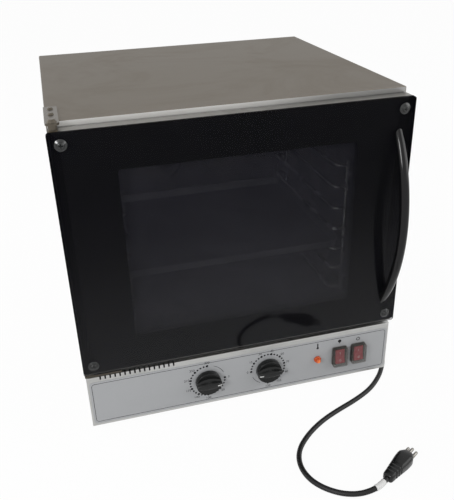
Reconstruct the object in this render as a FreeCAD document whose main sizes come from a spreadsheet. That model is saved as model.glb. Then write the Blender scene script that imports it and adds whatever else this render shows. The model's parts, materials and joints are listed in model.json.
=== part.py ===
import FreeCAD, Part
import math
import os
import re

import Sketcher
from FreeCAD import Placement, Rotation, Vector

# Countertop electric convection oven with a side-hung glass door.
# Millimetres, +Z up, front towards -Y, origin on the floor below the middle of the oven.

# Driving dimensions: alias, number, what it measures
SIZES = [
    ("sheet", 1.0, "thickness of the cabinet and chamber sheet"),
    ("bend_radius", 2.0, "outer radius of the cabinet's folded edges"),
    ("seat_gap", 0.3, "gap between a loose piece and what it rests on"),
    ("running_gap", 0.05, "radial gap of pins and shafts in their bores"),
    ("cabinet_width", 506, "outer wrap, side to side"),
    ("cabinet_height", 488, "underside to top of the outer wrap"),
    ("cabinet_depth", 452, "front frame to rear panel"),
    ("rear_lip", 12, "return lip at the back of the outer wrap"),
    ("pan_flange", 20, "upturned edge of the base pan"),
    ("foot_height", 15, "floor to underside of the base pan"),
    ("foot_radius", 15, "foot at the base pan"),
    ("foot_tread_radius", 12, "foot at the floor"),
    ("foot_inset", 48, "foot centre from the cabinet sides"),
    ("panel_height", 94, "control panel, bottom to top"),
    ("panel_setback", 7, "control panel face behind the glass face"),
    ("panel_sheet", 1.2, "thickness of the control panel"),
    ("vent_count", 16, "vent slots in the control panel's top bend"),
    ("vent_pitch", 7.6, "spacing of those slots"),
    ("vent_width", 2.4, "width of one slot"),
    ("vent_drop", 5.5, "slot length down the panel face"),
    ("vent_run", 9, "slot length back along the panel's top"),
    ("vent_first", 23.3, "first slot from the door's left edge"),
    ("overlay_margin", 3, "printed overlay inside the cabinet's sides"),
    ("overlay_height", 80, "printed overlay, bottom to top"),
    ("overlay_rise", 5, "overlay above the panel's lower edge"),
    ("overlay_thickness", 0.3, "printed overlay"),
    ("overlay_radius", 6, "overlay corners"),
    ("control_rise", 47, "dials, lamp and switches above the panel's lower edge"),
    ("thermostat_inset", 317.7, "thermostat dial inside the cabinet's right side"),
    ("timer_inset", 215.6, "timer dial inside the cabinet's right side"),
    ("pilot_inset", 128.5, "pilot lamp inside the cabinet's right side"),
    ("switch_left_inset", 89.4, "left rocker switch inside the cabinet's right side"),
    ("switch_right_inset", 55.8, "right rocker switch inside the cabinet's right side"),
    ("knob_radius", 21, "dial knob skirt"),
    ("knob_crown_radius", 17.5, "dial knob where the skirt ends"),
    ("knob_rim", 2.5, "straight rim of the skirt"),
    ("knob_skirt", 11, "height of the skirt"),
    ("knob_height", 19, "height of the grip bar"),
    ("knob_grip", 9, "width of the grip bar"),
    ("knob_gap", 0.8, "knob above the overlay"),
    ("knob_bore_depth", 9, "shaft bore in the knob"),
    ("shaft_radius", 3, "dial shafts"),
    ("bush_radius", 5, "threaded neck of a dial body"),
    ("thermostat_width", 36, "thermostat body"),
    ("thermostat_depth", 30, "thermostat body"),
    ("timer_width", 48, "timer body"),
    ("timer_depth", 36, "timer body"),
    ("pilot_radius", 6, "pilot lamp lens"),
    ("pilot_height", 6, "pilot lamp lens, straight part below its dome"),
    ("pilot_neck", 4.5, "pilot lamp neck"),
    ("pilot_length", 26, "pilot lamp body behind the panel"),
    ("switch_width", 18.5, "rocker switch housing behind the panel"),
    ("switch_height", 29, "rocker switch housing behind the panel"),
    ("switch_depth", 22, "rocker switch housing behind the panel"),
    ("bezel_width", 22.6, "rocker switch bezel"),
    ("bezel_height", 33, "rocker switch bezel"),
    ("bezel_thickness", 3.5, "rocker switch bezel"),
    ("rocker_width", 15.6, "red rocker"),
    ("rocker_radius", 13, "red rocker, pivot to ends"),
    ("rocker_gap", 0.4, "rocker to housing"),
    ("rocker_crown", 2.6, "rocker face above the pivot at its middle"),
    ("rocker_foot", 4, "rocker underside below the pivot"),
    ("rocker_tilt", 8, "rocker tilt from level, degrees"),
    ("rocker_pin_radius", 1.2, "rocker pivot stubs"),
    ("cover_width", 26, "clear splash cover"),
    ("cover_height", 36, "clear splash cover"),
    ("cover_depth", 11, "clear splash cover"),
    ("cover_wall", 1.2, "clear splash cover"),
    ("cover_radius", 3, "clear splash cover edges"),
    ("glass_overhang", 2, "door glass beyond the cabinet's sides"),
    ("glass_drop", 8, "door glass below the cabinet's top"),
    ("glass_thickness", 5, "door glass"),
    ("glass_radius", 4, "door glass corners"),
    ("door_rise", 104, "door glass above the cabinet's underside"),
    ("door_gap", 3, "door frame to cabinet front"),
    ("window_side", 82, "window of the printed border inside the cabinet's sides"),
    ("window_drop", 59, "window below the glass's upper edge"),
    ("window_rise", 55, "window above the glass's lower edge"),
    ("window_radius", 5, "window corners"),
    ("ink_thickness", 0.3, "printed border"),
    ("door_frame_depth", 19, "glass back to door frame back"),
    ("door_frame_inset", 3, "door frame inside the glass's side edges"),
    ("door_frame_drop", 1.5, "door frame below the glass"),
    ("door_frame_dip", 0.5, "door frame below the glass's top edge"),
    ("door_web_margin", 5, "door frame opening outside the window"),
    ("inner_glass_thickness", 4, "inner pane"),
    ("inner_glass_lap", 12, "inner pane beyond the door frame opening"),
    ("clip_width", 20, "inner pane clip"),
    ("clip_foot", 8, "inner pane clip beside the pane"),
    ("clip_lap", 6, "inner pane clip over the pane"),
    ("clip_thickness", 1.5, "inner pane clip over the pane"),
    ("screw_inset", 16.5, "glass screws from the glass edges"),
    ("glass_screw_radius", 2.5, "glass screws"),
    ("glass_screw_length", 18, "glass screws under the head"),
    ("glass_head_radius", 5, "glass screw heads"),
    ("glass_head_height", 2.4, "glass screw heads"),
    ("glass_head_crown", 3, "top of the glass screw heads"),
    ("washer_radius", 8.2, "cup washers at the glass"),
    ("washer_height", 2, "cup washers"),
    ("glass_hole_radius", 4, "screw holes in the glass"),
    ("standoff_radius", 6, "standoffs behind the glass"),
    ("handle_inset", 22, "handle from the glass's right edge"),
    ("handle_low_gap", 32.5, "lower end of the handle above the lower glass screw"),
    ("handle_high_gap", 41.5, "upper end of the handle below the upper glass screw"),
    ("handle_bow", 38, "middle of the handle in front of the glass"),
    ("handle_diameter", 14, "handle bar"),
    ("handle_screw_radius", 2.5, "handle screws"),
    ("handle_screw_grip", 6, "handle screws inside the handle"),
    ("handle_screw_head", 5, "handle screw heads"),
    ("handle_screw_inset", 3, "handle screws from the middle of the handle's ends"),
    ("hinge_inset", 10, "hinge axis from the glass's left edge"),
    ("hinge_setback", 12, "hinge axis behind the glass face"),
    ("hinge_pin_radius", 3, "hinge pins"),
    ("hinge_pin_reach", 8, "hinge pins inside the door"),
    ("hinge_bush_radius", 5, "hinge bushes"),
    ("hinge_flange_radius", 6.4, "hinge bush flanges"),
    ("hinge_flange", 1, "hinge bush flanges"),
    ("hinge_collar_radius", 6, "collars on the hinge pins"),
    ("hinge_plate", 3, "hinge strap and bracket"),
    ("hinge_strap_width", 18, "hinge strap"),
    ("hinge_strap_run", 76, "hinge strap behind its pin"),
    ("hinge_head_radius", 7, "head of the upper hinge pin"),
    ("hinge_head_height", 4, "head of the upper hinge pin"),
    ("hinge_head_crown", 3.85, "top of that head"),
    ("hinge_bracket_run", 56, "lower hinge bracket along the panel"),
    ("hinge_screw_radius", 2, "hinge screws"),
    ("hinge_screw_head", 4.5, "hinge screw heads"),
    ("hinge_screw_height", 2.4, "hinge screw heads"),
    ("hinge_screw_crown", 2.5, "top of the hinge screw heads"),
    ("chamber_side", 63, "oven chamber inside the cabinet's sides"),
    ("chamber_drop", 52, "chamber ceiling below the cabinet's top"),
    ("chamber_rear", 62, "space behind the oven chamber"),
    ("chamber_rise", 144, "chamber floor above the cabinet's underside"),
    ("chamber_flange", 14, "flange round the chamber mouth"),
    ("frame_flange", 12, "front frame edges folded back"),
    ("frame_lap", 8, "front frame below the top of the control panel"),
    ("gasket_width", 12, "door gasket"),
    ("gasket_margin", 3, "gasket outside the chamber mouth"),
    ("gasket_radius", 8, "gasket inner corners"),
    ("catch_width", 14, "magnetic catch"),
    ("catch_height", 46, "magnetic catch"),
    ("catch_inset", 24, "catch from the door's right edge"),
    ("insulation", 34, "insulation jacket"),
    ("insulation_rear", 25, "insulation behind the chamber"),
    ("baffle_gap", 40, "fan baffle in front of the chamber's rear wall"),
    ("baffle_side", 32, "fan baffle inside the chamber's walls"),
    ("baffle_end", 15, "fan baffle below the chamber's ceiling and above its floor"),
    ("intake_count", 18, "intake slots in the fan baffle"),
    ("intake_inner", 18, "intake slots, inner end"),
    ("intake_outer", 52, "intake slots, outer end"),
    ("intake_width", 5, "intake slots"),
    ("fan_radius", 62, "fan impeller"),
    ("fan_hub_radius", 10, "fan hub"),
    ("fan_height", 18, "fan blades"),
    ("fan_disc", 1.2, "fan back plate and blades"),
    ("fan_blades", 8, "fan blades"),
    ("fan_gap", 8, "fan in front of the chamber's rear wall"),
    ("fan_shaft_radius", 4, "fan shaft"),
    ("motor_width", 72, "fan motor"),
    ("motor_height", 60, "fan motor"),
    ("motor_depth", 42, "fan motor"),
    ("motor_neck_radius", 9, "fan motor bearing neck"),
    ("heater_ring", 86, "heating element ring, middle of the tube"),
    ("heater_tube", 4, "heating element tube radius"),
    ("heater_opening", 40, "heating element, angle between its ends"),
    ("heater_bend", 14, "heating element, bend to its leads"),
    ("heater_offset", 20, "heating element in front of the chamber's rear wall"),
    ("heater_tail", 20, "heating element leads behind the chamber"),
    ("lamp_inset", 90, "oven lamp in front of the chamber's rear wall"),
    ("lamp_drop", 40, "oven lamp below the chamber ceiling"),
    ("lamp_radius", 22, "oven lamp glass"),
    ("lamp_dome", 12, "oven lamp glass into the chamber"),
    ("lamp_socket_radius", 17, "oven lamp holder"),
    ("lamp_socket_depth", 46, "oven lamp holder outside the chamber"),
    ("rack_levels", 7, "tray levels"),
    ("rack_top_gap", 68.5, "highest runner below the chamber's ceiling"),
    ("rack_first", 7.5, "lowest runner above the chamber floor"),
    ("rack_wire", 3, "runner wire radius"),
    ("rack_inset", 27, "runner from the chamber wall"),
    ("rack_post_inset", 7, "rack post from the chamber wall"),
    ("rack_front", 30, "front post behind the chamber mouth"),
    ("rack_rear", 90, "rear post in front of the chamber's rear wall"),
    ("rack_bend", 9, "runner wire corners"),
    ("lower_level_count", 2, "tray levels below the one that carries the tray"),
    ("tray_side", 13, "baking tray rim inside the chamber's walls"),
    ("tray_rear", 62, "baking tray in front of the chamber's rear wall"),
    ("tray_height", 13, "baking tray"),
    ("tray_slope", 4, "baking tray rim outside its base"),
    ("tray_radius", 14, "baking tray corners"),
    ("tray_front", 28, "baking tray behind the chamber mouth"),
    ("rear_screw_radius", 2, "rear panel screws"),
    ("rear_screw_head", 4, "rear panel screw heads"),
    ("rear_screw_height", 2, "rear panel screw heads"),
    ("rear_screw_crown", 2.4, "top of the rear panel screw heads"),
    ("rear_screw_length", 6, "rear panel screws under the head"),
    ("rear_screw_inset", 7, "rear panel screws from the cabinet edges"),
    ("louvre_count", 9, "louvre slots in the rear panel"),
    ("louvre_pitch", 11, "louvre slots"),
    ("louvre_length", 90, "louvre slots"),
    ("louvre_width", 4, "louvre slots"),
    ("terminal_length", 48, "terminal block"),
    ("terminal_width", 22, "terminal block"),
    ("terminal_height", 18, "terminal block"),
    ("terminal_setback", 72, "terminal block in front of the cabinet's back"),
    ("gland_inset", 48, "cable gland inside the cabinet's right side"),
    ("gland_rise", 36, "cable gland above the cabinet's underside"),
    ("gland_radius", 9, "cable gland nut"),
    ("gland_nut", 7, "cable gland nut"),
    ("gland_base_radius", 7.2, "cable gland sleeve at the nut"),
    ("gland_length", 34, "cable gland outside the rear panel"),
    ("gland_tip_radius", 5.4, "cable gland at its tip"),
    ("cord_diameter", 8, "mains lead"),
    ("plug_length", 46, "plug body"),
    ("plug_width", 25, "plug body at its face"),
    ("plug_height", 21, "plug body at its face"),
    ("plug_neck", 21, "plug strain relief"),
    ("plug_waist", 17, "plug body where the strain relief ends"),
    ("plug_pin_radius", 2.4, "plug pins"),
    ("plug_pin_length", 19, "plug pins"),
    ("plug_pin_pitch", 19, "outer plug pins"),
    ("plug_pin_offset", 3, "middle plug pin above the outer ones"),
]

# Planes and axes that several pieces share: name, how it follows from the sizes
PLACES = [
    ("door_stack", "glass_thickness + door_frame_depth + door_gap"),
    ("handle_reach", "handle_bow + handle_diameter / 2"),
    ("overall_depth", "handle_reach + door_stack + cabinet_depth + rear_screw_height"),
    ("glass_front", "handle_reach - overall_depth / 2"),
    ("glass_back", "glass_front + glass_thickness"),
    ("ink_back", "glass_back + ink_thickness"),
    ("door_back", "glass_back + door_frame_depth"),
    ("door_web", "door_back - sheet"),
    ("panel_front", "glass_front + panel_setback"),
    ("panel_inner", "panel_front + panel_sheet"),
    ("overlay_front", "panel_front - overlay_thickness"),
    ("cabinet_front", "glass_front + door_stack"),
    ("frame_back", "cabinet_front + sheet"),
    ("cabinet_back", "cabinet_front + cabinet_depth"),
    ("rear_inner", "cabinet_back - sheet"),
    ("half_width", "cabinet_width / 2"),
    ("overlay_width", "cabinet_width - 2 * overlay_margin"),
    ("thermostat_x", "half_width - thermostat_inset"),
    ("timer_x", "half_width - timer_inset"),
    ("pilot_x", "half_width - pilot_inset"),
    ("switch_left_x", "half_width - switch_left_inset"),
    ("switch_right_x", "half_width - switch_right_inset"),
    ("gland_x", "half_width - gland_inset"),
    ("half_inside", "cabinet_width / 2 - sheet"),
    ("floor_pan", "foot_height + sheet"),
    ("cabinet_top", "foot_height + cabinet_height"),
    ("wrap_ceiling", "cabinet_top - sheet"),
    ("panel_top", "foot_height + panel_height"),
    ("control_z", "foot_height + control_rise"),
    ("glass_bottom", "foot_height + door_rise"),
    ("glass_width", "cabinet_width + 2 * glass_overhang"),
    ("glass_height", "cabinet_height - door_rise - glass_drop"),
    ("glass_top", "glass_bottom + glass_height"),
    ("glass_half", "glass_width / 2"),
    ("window_width", "cabinet_width - 2 * window_side"),
    ("window_height", "glass_height - window_rise - window_drop"),
    ("window_bottom", "glass_bottom + window_rise"),
    ("window_top", "window_bottom + window_height"),
    ("window_z", "window_bottom + window_height / 2"),
    ("door_frame_half", "glass_half - door_frame_inset"),
    ("door_frame_bottom", "glass_bottom - door_frame_drop"),
    ("door_frame_top", "glass_top - door_frame_dip"),
    ("web_half", "window_width / 2 + door_web_margin"),
    ("web_bottom", "window_bottom - door_web_margin"),
    ("web_top", "window_top + door_web_margin"),
    ("pane_half", "web_half + inner_glass_lap"),
    ("pane_bottom", "web_bottom - inner_glass_lap"),
    ("pane_top", "web_top + inner_glass_lap"),
    ("pane_front", "door_web - inner_glass_thickness"),
    ("screw_x", "glass_half - screw_inset"),
    ("screw_low", "glass_bottom + screw_inset"),
    ("screw_high", "glass_top - screw_inset"),
    ("handle_x", "glass_half - handle_inset"),
    ("handle_low", "screw_low + handle_low_gap"),
    ("handle_span", "screw_high - handle_high_gap - handle_low"),
    ("handle_middle", "handle_low + handle_span / 2"),
    ("handle_arc", "(handle_span ^ 2 / 4 + handle_bow ^ 2) / (2 * handle_bow)"),
    ("handle_centre", "glass_front - handle_bow + handle_arc"),
    ("hinge_x", "hinge_inset - glass_half"),
    ("hinge_y", "glass_front + hinge_setback"),
    ("hinge_bore", "hinge_pin_radius + running_gap"),
    ("upper_flange_top", "door_frame_top + hinge_flange"),
    ("lower_flange_bottom", "door_frame_bottom - hinge_flange"),
    ("strap_top", "cabinet_top + hinge_plate"),
    ("strap_back", "hinge_y + hinge_strap_run"),
    ("bracket_top", "panel_top + hinge_plate"),
    ("bracket_end", "hinge_x - hinge_strap_width / 2 + hinge_bracket_run"),
    ("chamber_width", "cabinet_width - 2 * chamber_side"),
    ("chamber_height", "cabinet_height - chamber_rise - chamber_drop"),
    ("chamber_depth", "cabinet_depth - chamber_rear"),
    ("chamber_half", "chamber_width / 2"),
    ("chamber_floor", "foot_height + chamber_rise"),
    ("chamber_ceiling", "chamber_floor + chamber_height"),
    ("chamber_z", "chamber_floor + chamber_height / 2"),
    ("chamber_back", "frame_back + chamber_depth"),
    ("chamber_outer", "chamber_back + sheet"),
    ("baffle_front", "chamber_back - baffle_gap"),
    ("baffle_width", "chamber_width - 2 * baffle_side"),
    ("baffle_height", "chamber_height - 2 * baffle_end"),
    ("fan_back", "chamber_back - fan_gap"),
    ("lamp_y", "chamber_back - lamp_inset"),
    ("lamp_z", "chamber_ceiling - lamp_drop"),
    ("rack_post_y", "frame_back + rack_front"),
    ("rack_length", "chamber_depth - rack_front - rack_rear"),
    ("rack_pitch", "(chamber_height - rack_first - rack_top_gap) / (rack_levels - 1)"),
    ("rack_z", "chamber_floor + rack_first"),
    ("tray_base", "rack_z + lower_level_count * rack_pitch + rack_wire"),
    ("tray_y", "frame_back + tray_front"),
    ("tray_width", "chamber_width - 2 * tray_side"),
    ("tray_depth", "chamber_depth - tray_front - tray_rear"),
    ("gland_z", "foot_height + gland_rise"),
    ("cover_front", "overlay_front - cover_depth"),
    ("bezel_front", "overlay_front - bezel_thickness"),
    ("rocker_y", "bezel_front + sheet"),
]

# The lead's route on the floor and round the cabinet, from the gland to the plug
CORD_ROUTE = [
    (205, 295, 51), (205, 317, 51), (209, 346, 44), (224, 368, 32), (248, 380, 19), (274, 377, 9.5),
    (294, 360, 4.8), (305, 335, 4.2), (307, 304, 4.2), (303, 268, 4.2), (298, 225, 4.2), (295, 175, 4.2),
    (296, 122, 4.2), (298, 70, 4.2), (298, 18, 4.2), (296, -32, 4.2), (293, -78, 4.2), (288, -118, 4.2),
    (279, -152, 4.2), (268, -178, 4.2), (254, -200, 4.2), (236, -222, 4.2), (208, -246, 4.2),
    (172, -264, 4.2), (135, -278, 4.2), (100, -294, 4.2), (68, -316, 4.2), (43, -342, 4.2),
    (33, -370, 4.2), (36, -398, 4.2), (49, -420, 4.2), (69, -437, 4.2), (90, -446, 5.4),
    (108, -449, 9), (125.8, -445.5, 10.6), (140.2, -436.5, 10.6),
]

doc = FreeCAD.newDocument("ConvectionOven")
sizes = doc.addObject("Spreadsheet::Sheet", "sizes")
for row, (alias, number, note) in enumerate(SIZES, start=1):
    sizes.set(f"A{row}", note)
    sizes.set(f"B{row}", str(number))
    sizes.setAlias(f"B{row}", alias)
places = doc.addObject("Spreadsheet::Sheet", "places")
SIZE_NAMES = {alias for alias, number, note in SIZES}
PLACE_NAMES = {alias for alias, formula in PLACES}
NODES = {}


def bound(formula):
    """A formula of plain names, as an expression on the two sheets."""
    def sheet_name(match):
        word = match.group(0)
        if word in SIZE_NAMES:
            return "sizes." + word
        return "places." + word if word in PLACE_NAMES else word
    return re.sub(r"[a-z_][a-z_0-9]*", sheet_name, str(formula))


def value(formula):
    """The formula's number."""
    return float(sizes.evalExpression(bound(formula)))


for row, (alias, formula) in enumerate(PLACES, start=1):
    places.set(f"A{row}", alias)
    places.set(f"B{row}", "=" + bound(formula))
    places.setAlias(f"B{row}", alias)
doc.recompute()

# Turns that take a piece's own +Z to another axis
ALONG = {
    "x": Rotation(Vector(0, 1, 0), 90),
    "y": Rotation(Vector(1, 0, 0), -90),
    "front": Rotation(Vector(1, 0, 0), 90),
    "down": Rotation(Vector(1, 0, 0), 180),
    "z": Rotation(),
}


def node(name, obj):
    """Name the finished sub-part."""
    obj.Label = name
    NODES[name] = obj
    return obj


def place(obj, at, along="z"):
    """Turn an object and bind its position."""
    obj.Placement = Placement(Vector(), ALONG[along])
    for axis, formula in zip("xyz", at):
        obj.setExpression(f"Placement.Base.{axis}", bound(formula))
    return obj


def box(x, y, z):
    """A block between two formulas on each axis."""
    obj = doc.addObject("Part::Box", "block")
    for side, (low, high) in zip(("Length", "Width", "Height"), (x, y, z)):
        obj.setExpression(side, bound(f"({high}) - ({low})"))
    return place(obj, (x[0], y[0], z[0]))


def cylinder(at, along, radius, length):
    obj = doc.addObject("Part::Cylinder", "rod")
    obj.setExpression("Radius", bound(radius))
    obj.setExpression("Height", bound(length))
    return place(obj, at, along)


def cone(at, along, base, tip, length):
    obj = doc.addObject("Part::Cone", "taper")
    obj.setExpression("Radius1", bound(base))
    obj.setExpression("Radius2", bound(tip))
    obj.setExpression("Height", bound(length))
    return place(obj, at, along)


def cut(base, *tools):
    for tool in tools:
        obj = doc.addObject("Part::Cut", "cut")
        obj.Base = base
        obj.Tool = tool
        base = obj
    return base


def fuse(*shapes):
    obj = doc.addObject("Part::MultiFuse", "joined")
    obj.Shapes = list(shapes)
    return obj


def group(*shapes):
    """Separate solids that share a node."""
    obj = doc.addObject("Part::Compound", "set")
    obj.Links = list(shapes)
    return obj


class Body:
    """A PartDesign body whose sketches and features are bound to the sheets."""

    PLANES = {"front": ("XZ_Plane", -1), "top": ("XY_Plane", 1), "side": ("YZ_Plane", 1)}

    def __init__(self, name):
        self.body = doc.addObject("PartDesign::Body", name)
        node(name, self.body)

    def sketch(self, plane, level=0):
        """A sketch on a plane across Y (front), Z (top) or X (side), at the given level."""
        role, sign = self.PLANES[plane]
        made = self.body.newObject("Sketcher::SketchObject", "profile")
        support = [part for part in self.body.Origin.OriginFeatures if part.Role == role][0]
        made.AttachmentSupport = (support, [""])
        made.MapMode = "FlatFace"
        made.setExpression("AttachmentOffset.Base.z", bound(f"{sign} * ({level})"))
        return made

    def feature(self, kind, profile, **formulas):
        made = self.body.newObject("PartDesign::" + kind, kind.lower())
        made.Profile = profile
        for prop, formula in formulas.items():
            made.setExpression(prop, bound(formula))
        self.body.Tip = made
        return made

    def pad(self, profile, length, backwards=False):
        made = self.feature("Pad", profile, Length=length)
        made.Reversed = backwards
        return made

    def pocket(self, profile, length, backwards=False):
        """A pocket has to take material away, so the volume is compared."""
        doc.recompute()
        before = self.body.Shape.Volume
        made = self.feature("Pocket", profile, Length=length)
        made.Reversed = backwards
        doc.recompute()
        if made.Shape.Volume >= before - 1e-6:
            raise RuntimeError(f"{self.body.Label}: a pocket cuts nothing")
        return made

    def revolve(self, profile, axis="V_Axis"):
        made = self.feature("Revolution", profile)
        made.ReferenceAxis = (profile, [axis])
        made.Angle = 360
        return made

    def fillet(self, radius, keep):
        """Round the edges that the test keeps."""
        doc.recompute()
        base = self.body.Tip
        edges = [f"Edge{i}" for i, edge in enumerate(base.Shape.Edges, start=1) if keep(edge)]
        if not edges:
            raise RuntimeError(f"{self.body.Label}: no edge to round")
        made = self.body.newObject("PartDesign::Fillet", "fillet")
        made.Base = (base, edges)
        made.setExpression("Radius", bound(radius))
        self.body.Tip = made
        return made

    def row(self, original, direction, count, pitch):
        """Repeat a feature along a body axis."""
        role = {"x": "X_Axis", "y": "Y_Axis", "z": "Z_Axis"}[direction]
        made = self.body.newObject("PartDesign::LinearPattern", "row")
        made.Originals = [original]
        made.Direction = ([part for part in self.body.Origin.OriginFeatures if part.Role == role][0], [""])
        made.setExpression("Occurrences", bound(count))
        made.setExpression("Length", bound(f"({pitch}) * ({count} - 1)"))
        self.body.Tip = made
        return made

    def ring(self, original, count, role="Z_Axis"):
        """Repeat a feature round a body axis."""
        made = self.body.newObject("PartDesign::PolarPattern", "ring")
        made.Originals = [original]
        made.Axis = ([part for part in self.body.Origin.OriginFeatures if part.Role == role][0], [""])
        made.Angle = 360
        made.setExpression("Occurrences", bound(count))
        self.body.Tip = made
        return made


def outline(sketch, points):
    """A closed outline through points, each a pair of formulas."""
    first = sketch.GeometryCount
    count = len(points)
    spots = [Vector(value(a), value(b), 0) for a, b in points]
    for i, spot in enumerate(spots):
        sketch.addGeometry(Part.LineSegment(spot, spots[(i + 1) % count]))
    for i in range(count):
        sketch.addConstraint(Sketcher.Constraint("Coincident", first + i, 2, first + (i + 1) % count, 1))
    for i, (formulas, spot) in enumerate(zip(points, spots)):
        for kind, formula, number in zip(("DistanceX", "DistanceY"), formulas, (spot.x, spot.y)):
            index = sketch.addConstraint(Sketcher.Constraint(kind, -1, 1, first + i, 1, number))
            sketch.setExpression(f"Constraints[{index}]", bound(formula))
    return sketch


def rectangle(sketch, x, y):
    return outline(sketch, [(x[0], y[0]), (x[1], y[0]), (x[1], y[1]), (x[0], y[1])])


def rounded(sketch, x, y, radius):
    """A rectangle with round corners, run anticlockwise from its lower side."""
    west, east = (value(formula) for formula in x)
    south, north = (value(formula) for formula in y)
    bend = value(radius)
    spots = [(west + bend, south), (east - bend, south), (east, south + bend), (east, north - bend),
             (east - bend, north), (west + bend, north), (west, north - bend), (west, south + bend)]
    middles = [(east - bend, south + bend), (east - bend, north - bend),
               (west + bend, north - bend), (west + bend, south + bend)]
    for corner, (x_mid, y_mid) in enumerate(middles):
        ends = [Vector(*spots[2 * corner + i], 0) for i in (0, 1)]
        sketch.addGeometry(Part.LineSegment(*ends))
        bow = Part.Circle(Vector(x_mid, y_mid, 0), Vector(0, 0, 1), bend)
        sketch.addGeometry(Part.ArcOfCircle(bow, (corner - 1) * math.pi / 2, corner * math.pi / 2))
    for index in range(8):
        sketch.addConstraint(Sketcher.Constraint("Tangent", index, 2, (index + 1) % 8, 1))
    for index, kind in ((0, "Horizontal"), (2, "Vertical"), (4, "Horizontal"), (6, "Vertical")):
        sketch.addConstraint(Sketcher.Constraint(kind, index))
    for index in (3, 5, 7):
        sketch.addConstraint(Sketcher.Constraint("Equal", 1, index))
    rules = [("Radius", (1,), radius), ("DistanceY", (-1, 1, 0, 1), y[0]), ("DistanceX", (-1, 1, 2, 1), x[1]),
             ("DistanceY", (-1, 1, 4, 1), y[1]), ("DistanceX", (-1, 1, 6, 1), x[0])]
    for kind, where, formula in rules:
        made = sketch.addConstraint(Sketcher.Constraint(kind, *where, value(formula)))
        sketch.setExpression(f"Constraints[{made}]", bound(formula))
    return sketch


def circle(sketch, centre, radius):
    spot = Vector(value(centre[0]), value(centre[1]), 0)
    index = sketch.addGeometry(Part.Circle(spot, Vector(0, 0, 1), value(radius)))
    for kind, formula, number in zip(("DistanceX", "DistanceY"), centre, (spot.x, spot.y)):
        made = sketch.addConstraint(Sketcher.Constraint(kind, -1, 1, index, 3, number))
        sketch.setExpression(f"Constraints[{made}]", bound(formula))
    made = sketch.addConstraint(Sketcher.Constraint("Radius", index, value(radius)))
    sketch.setExpression(f"Constraints[{made}]", bound(radius))
    return sketch


def runs_along(edge, axis):
    """True where an edge is straight and parallel to an axis."""
    if edge.Curve.TypeId != "Part::GeomLine":
        return False
    return abs(getattr(edge.tangentAt(edge.FirstParameter), axis)) > 0.999


def near(edge, axis, formula):
    """True where the whole edge lies at one level of an axis."""
    limits = edge.BoundBox
    level = value(formula)
    low = getattr(limits, axis.upper() + "Min")
    high = getattr(limits, axis.upper() + "Max")
    return abs(low - level) < 1e-4 and abs(high - level) < 1e-4


def both(formula):
    """A span on both sides of the middle."""
    return (f"-({formula})", formula)


def around(centre, half):
    """A span on both sides of a centre."""
    return (f"{centre} - ({half})", f"{centre} + ({half})")


# Cabinet

def outer_wrap():
    part = Body("outer_wrap")
    sheet_line = [
        ("-half_width", "foot_height"), ("-half_width", "cabinet_top"),
        ("half_width", "cabinet_top"), ("half_width", "foot_height"),
        ("half_inside", "foot_height"), ("half_inside", "wrap_ceiling"),
        ("-half_inside", "wrap_ceiling"), ("-half_inside", "foot_height"),
    ]
    part.pad(outline(part.sketch("front", "cabinet_front"), sheet_line), "cabinet_depth - sheet", True)
    part.fillet("bend_radius", lambda edge: runs_along(edge, "y") and near(edge, "z", "cabinet_top"))
    part.fillet("sheet / 2", lambda edge: near(edge, "y", "cabinet_front") and (
        near(edge, "z", "cabinet_top") or near(edge, "x", "half_width") or near(edge, "x", "-half_width")))
    lip = [
        ("-half_inside", "foot_height"), ("-half_inside", "wrap_ceiling"),
        ("half_inside", "wrap_ceiling"), ("half_inside", "foot_height"),
        ("half_inside - rear_lip", "foot_height"), ("half_inside - rear_lip", "wrap_ceiling - rear_lip"),
        ("-half_inside + rear_lip", "wrap_ceiling - rear_lip"), ("-half_inside + rear_lip", "foot_height"),
    ]
    part.pad(outline(part.sketch("front", "rear_inner - sheet"), lip), "sheet", True)
    holes = part.sketch("front", "rear_inner - sheet")
    for x, z in rear_screw_spots():
        circle(holes, (x, z), "rear_screw_radius + running_gap")
    part.pocket(holes, "sheet")


def base_pan():
    part = Body("base_pan")
    span = ("cabinet_front", "rear_inner - sheet")
    part.pad(rectangle(part.sketch("top", "foot_height"), both("half_inside"), span), "pan_flange")
    inside = rectangle(part.sketch("top", "foot_height + pan_flange"), both("half_inside - sheet"),
                       (f"{span[0]} + sheet", f"{span[1]} - sheet"))
    part.pocket(inside, "pan_flange - sheet")
    vent = rectangle(part.sketch("top", "floor_pan"), around("-louvre_pitch * (louvre_count - 1) / 2",
                     "louvre_width / 2"), both("louvre_length / 2"))
    slot = part.pocket(vent, "sheet")
    part.row(slot, "x", "louvre_count", "louvre_pitch")


def control_panel():
    part = Body("control_panel")
    face = rectangle(part.sketch("front", "panel_front"), both("half_width"), ("foot_height", "panel_top"))
    part.pad(face, "cabinet_front - panel_front", True)
    part.fillet("bend_radius", lambda edge: near(edge, "y", "panel_front"))
    hollow = rectangle(part.sketch("front", "cabinet_front"), both("half_width - panel_sheet"),
                       ("foot_height + panel_sheet", "panel_top - panel_sheet"))
    part.pocket(hollow, "cabinet_front - panel_inner", True)
    for dial in ("thermostat_x", "timer_x"):
        part.pocket(circle(part.sketch("front", "panel_front"), (dial, "control_z"),
                           "bush_radius + running_gap"), "panel_sheet")
    part.pocket(circle(part.sketch("front", "panel_front"), ("pilot_x", "control_z"),
                       "pilot_neck + running_gap"), "panel_sheet")
    for switch in ("switch_left_x", "switch_right_x"):
        part.pocket(rectangle(part.sketch("front", "panel_front"), around(switch, "switch_width / 2"),
                              around("control_z", "switch_height / 2")), "panel_sheet")
    vent = rectangle(part.sketch("top", "panel_top"), around("vent_first - glass_half", "vent_width / 2"),
                     ("panel_front", "panel_front + vent_run"))
    slot = part.pocket(vent, "vent_drop")
    part.row(slot, "x", "vent_count", "vent_pitch")


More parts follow.
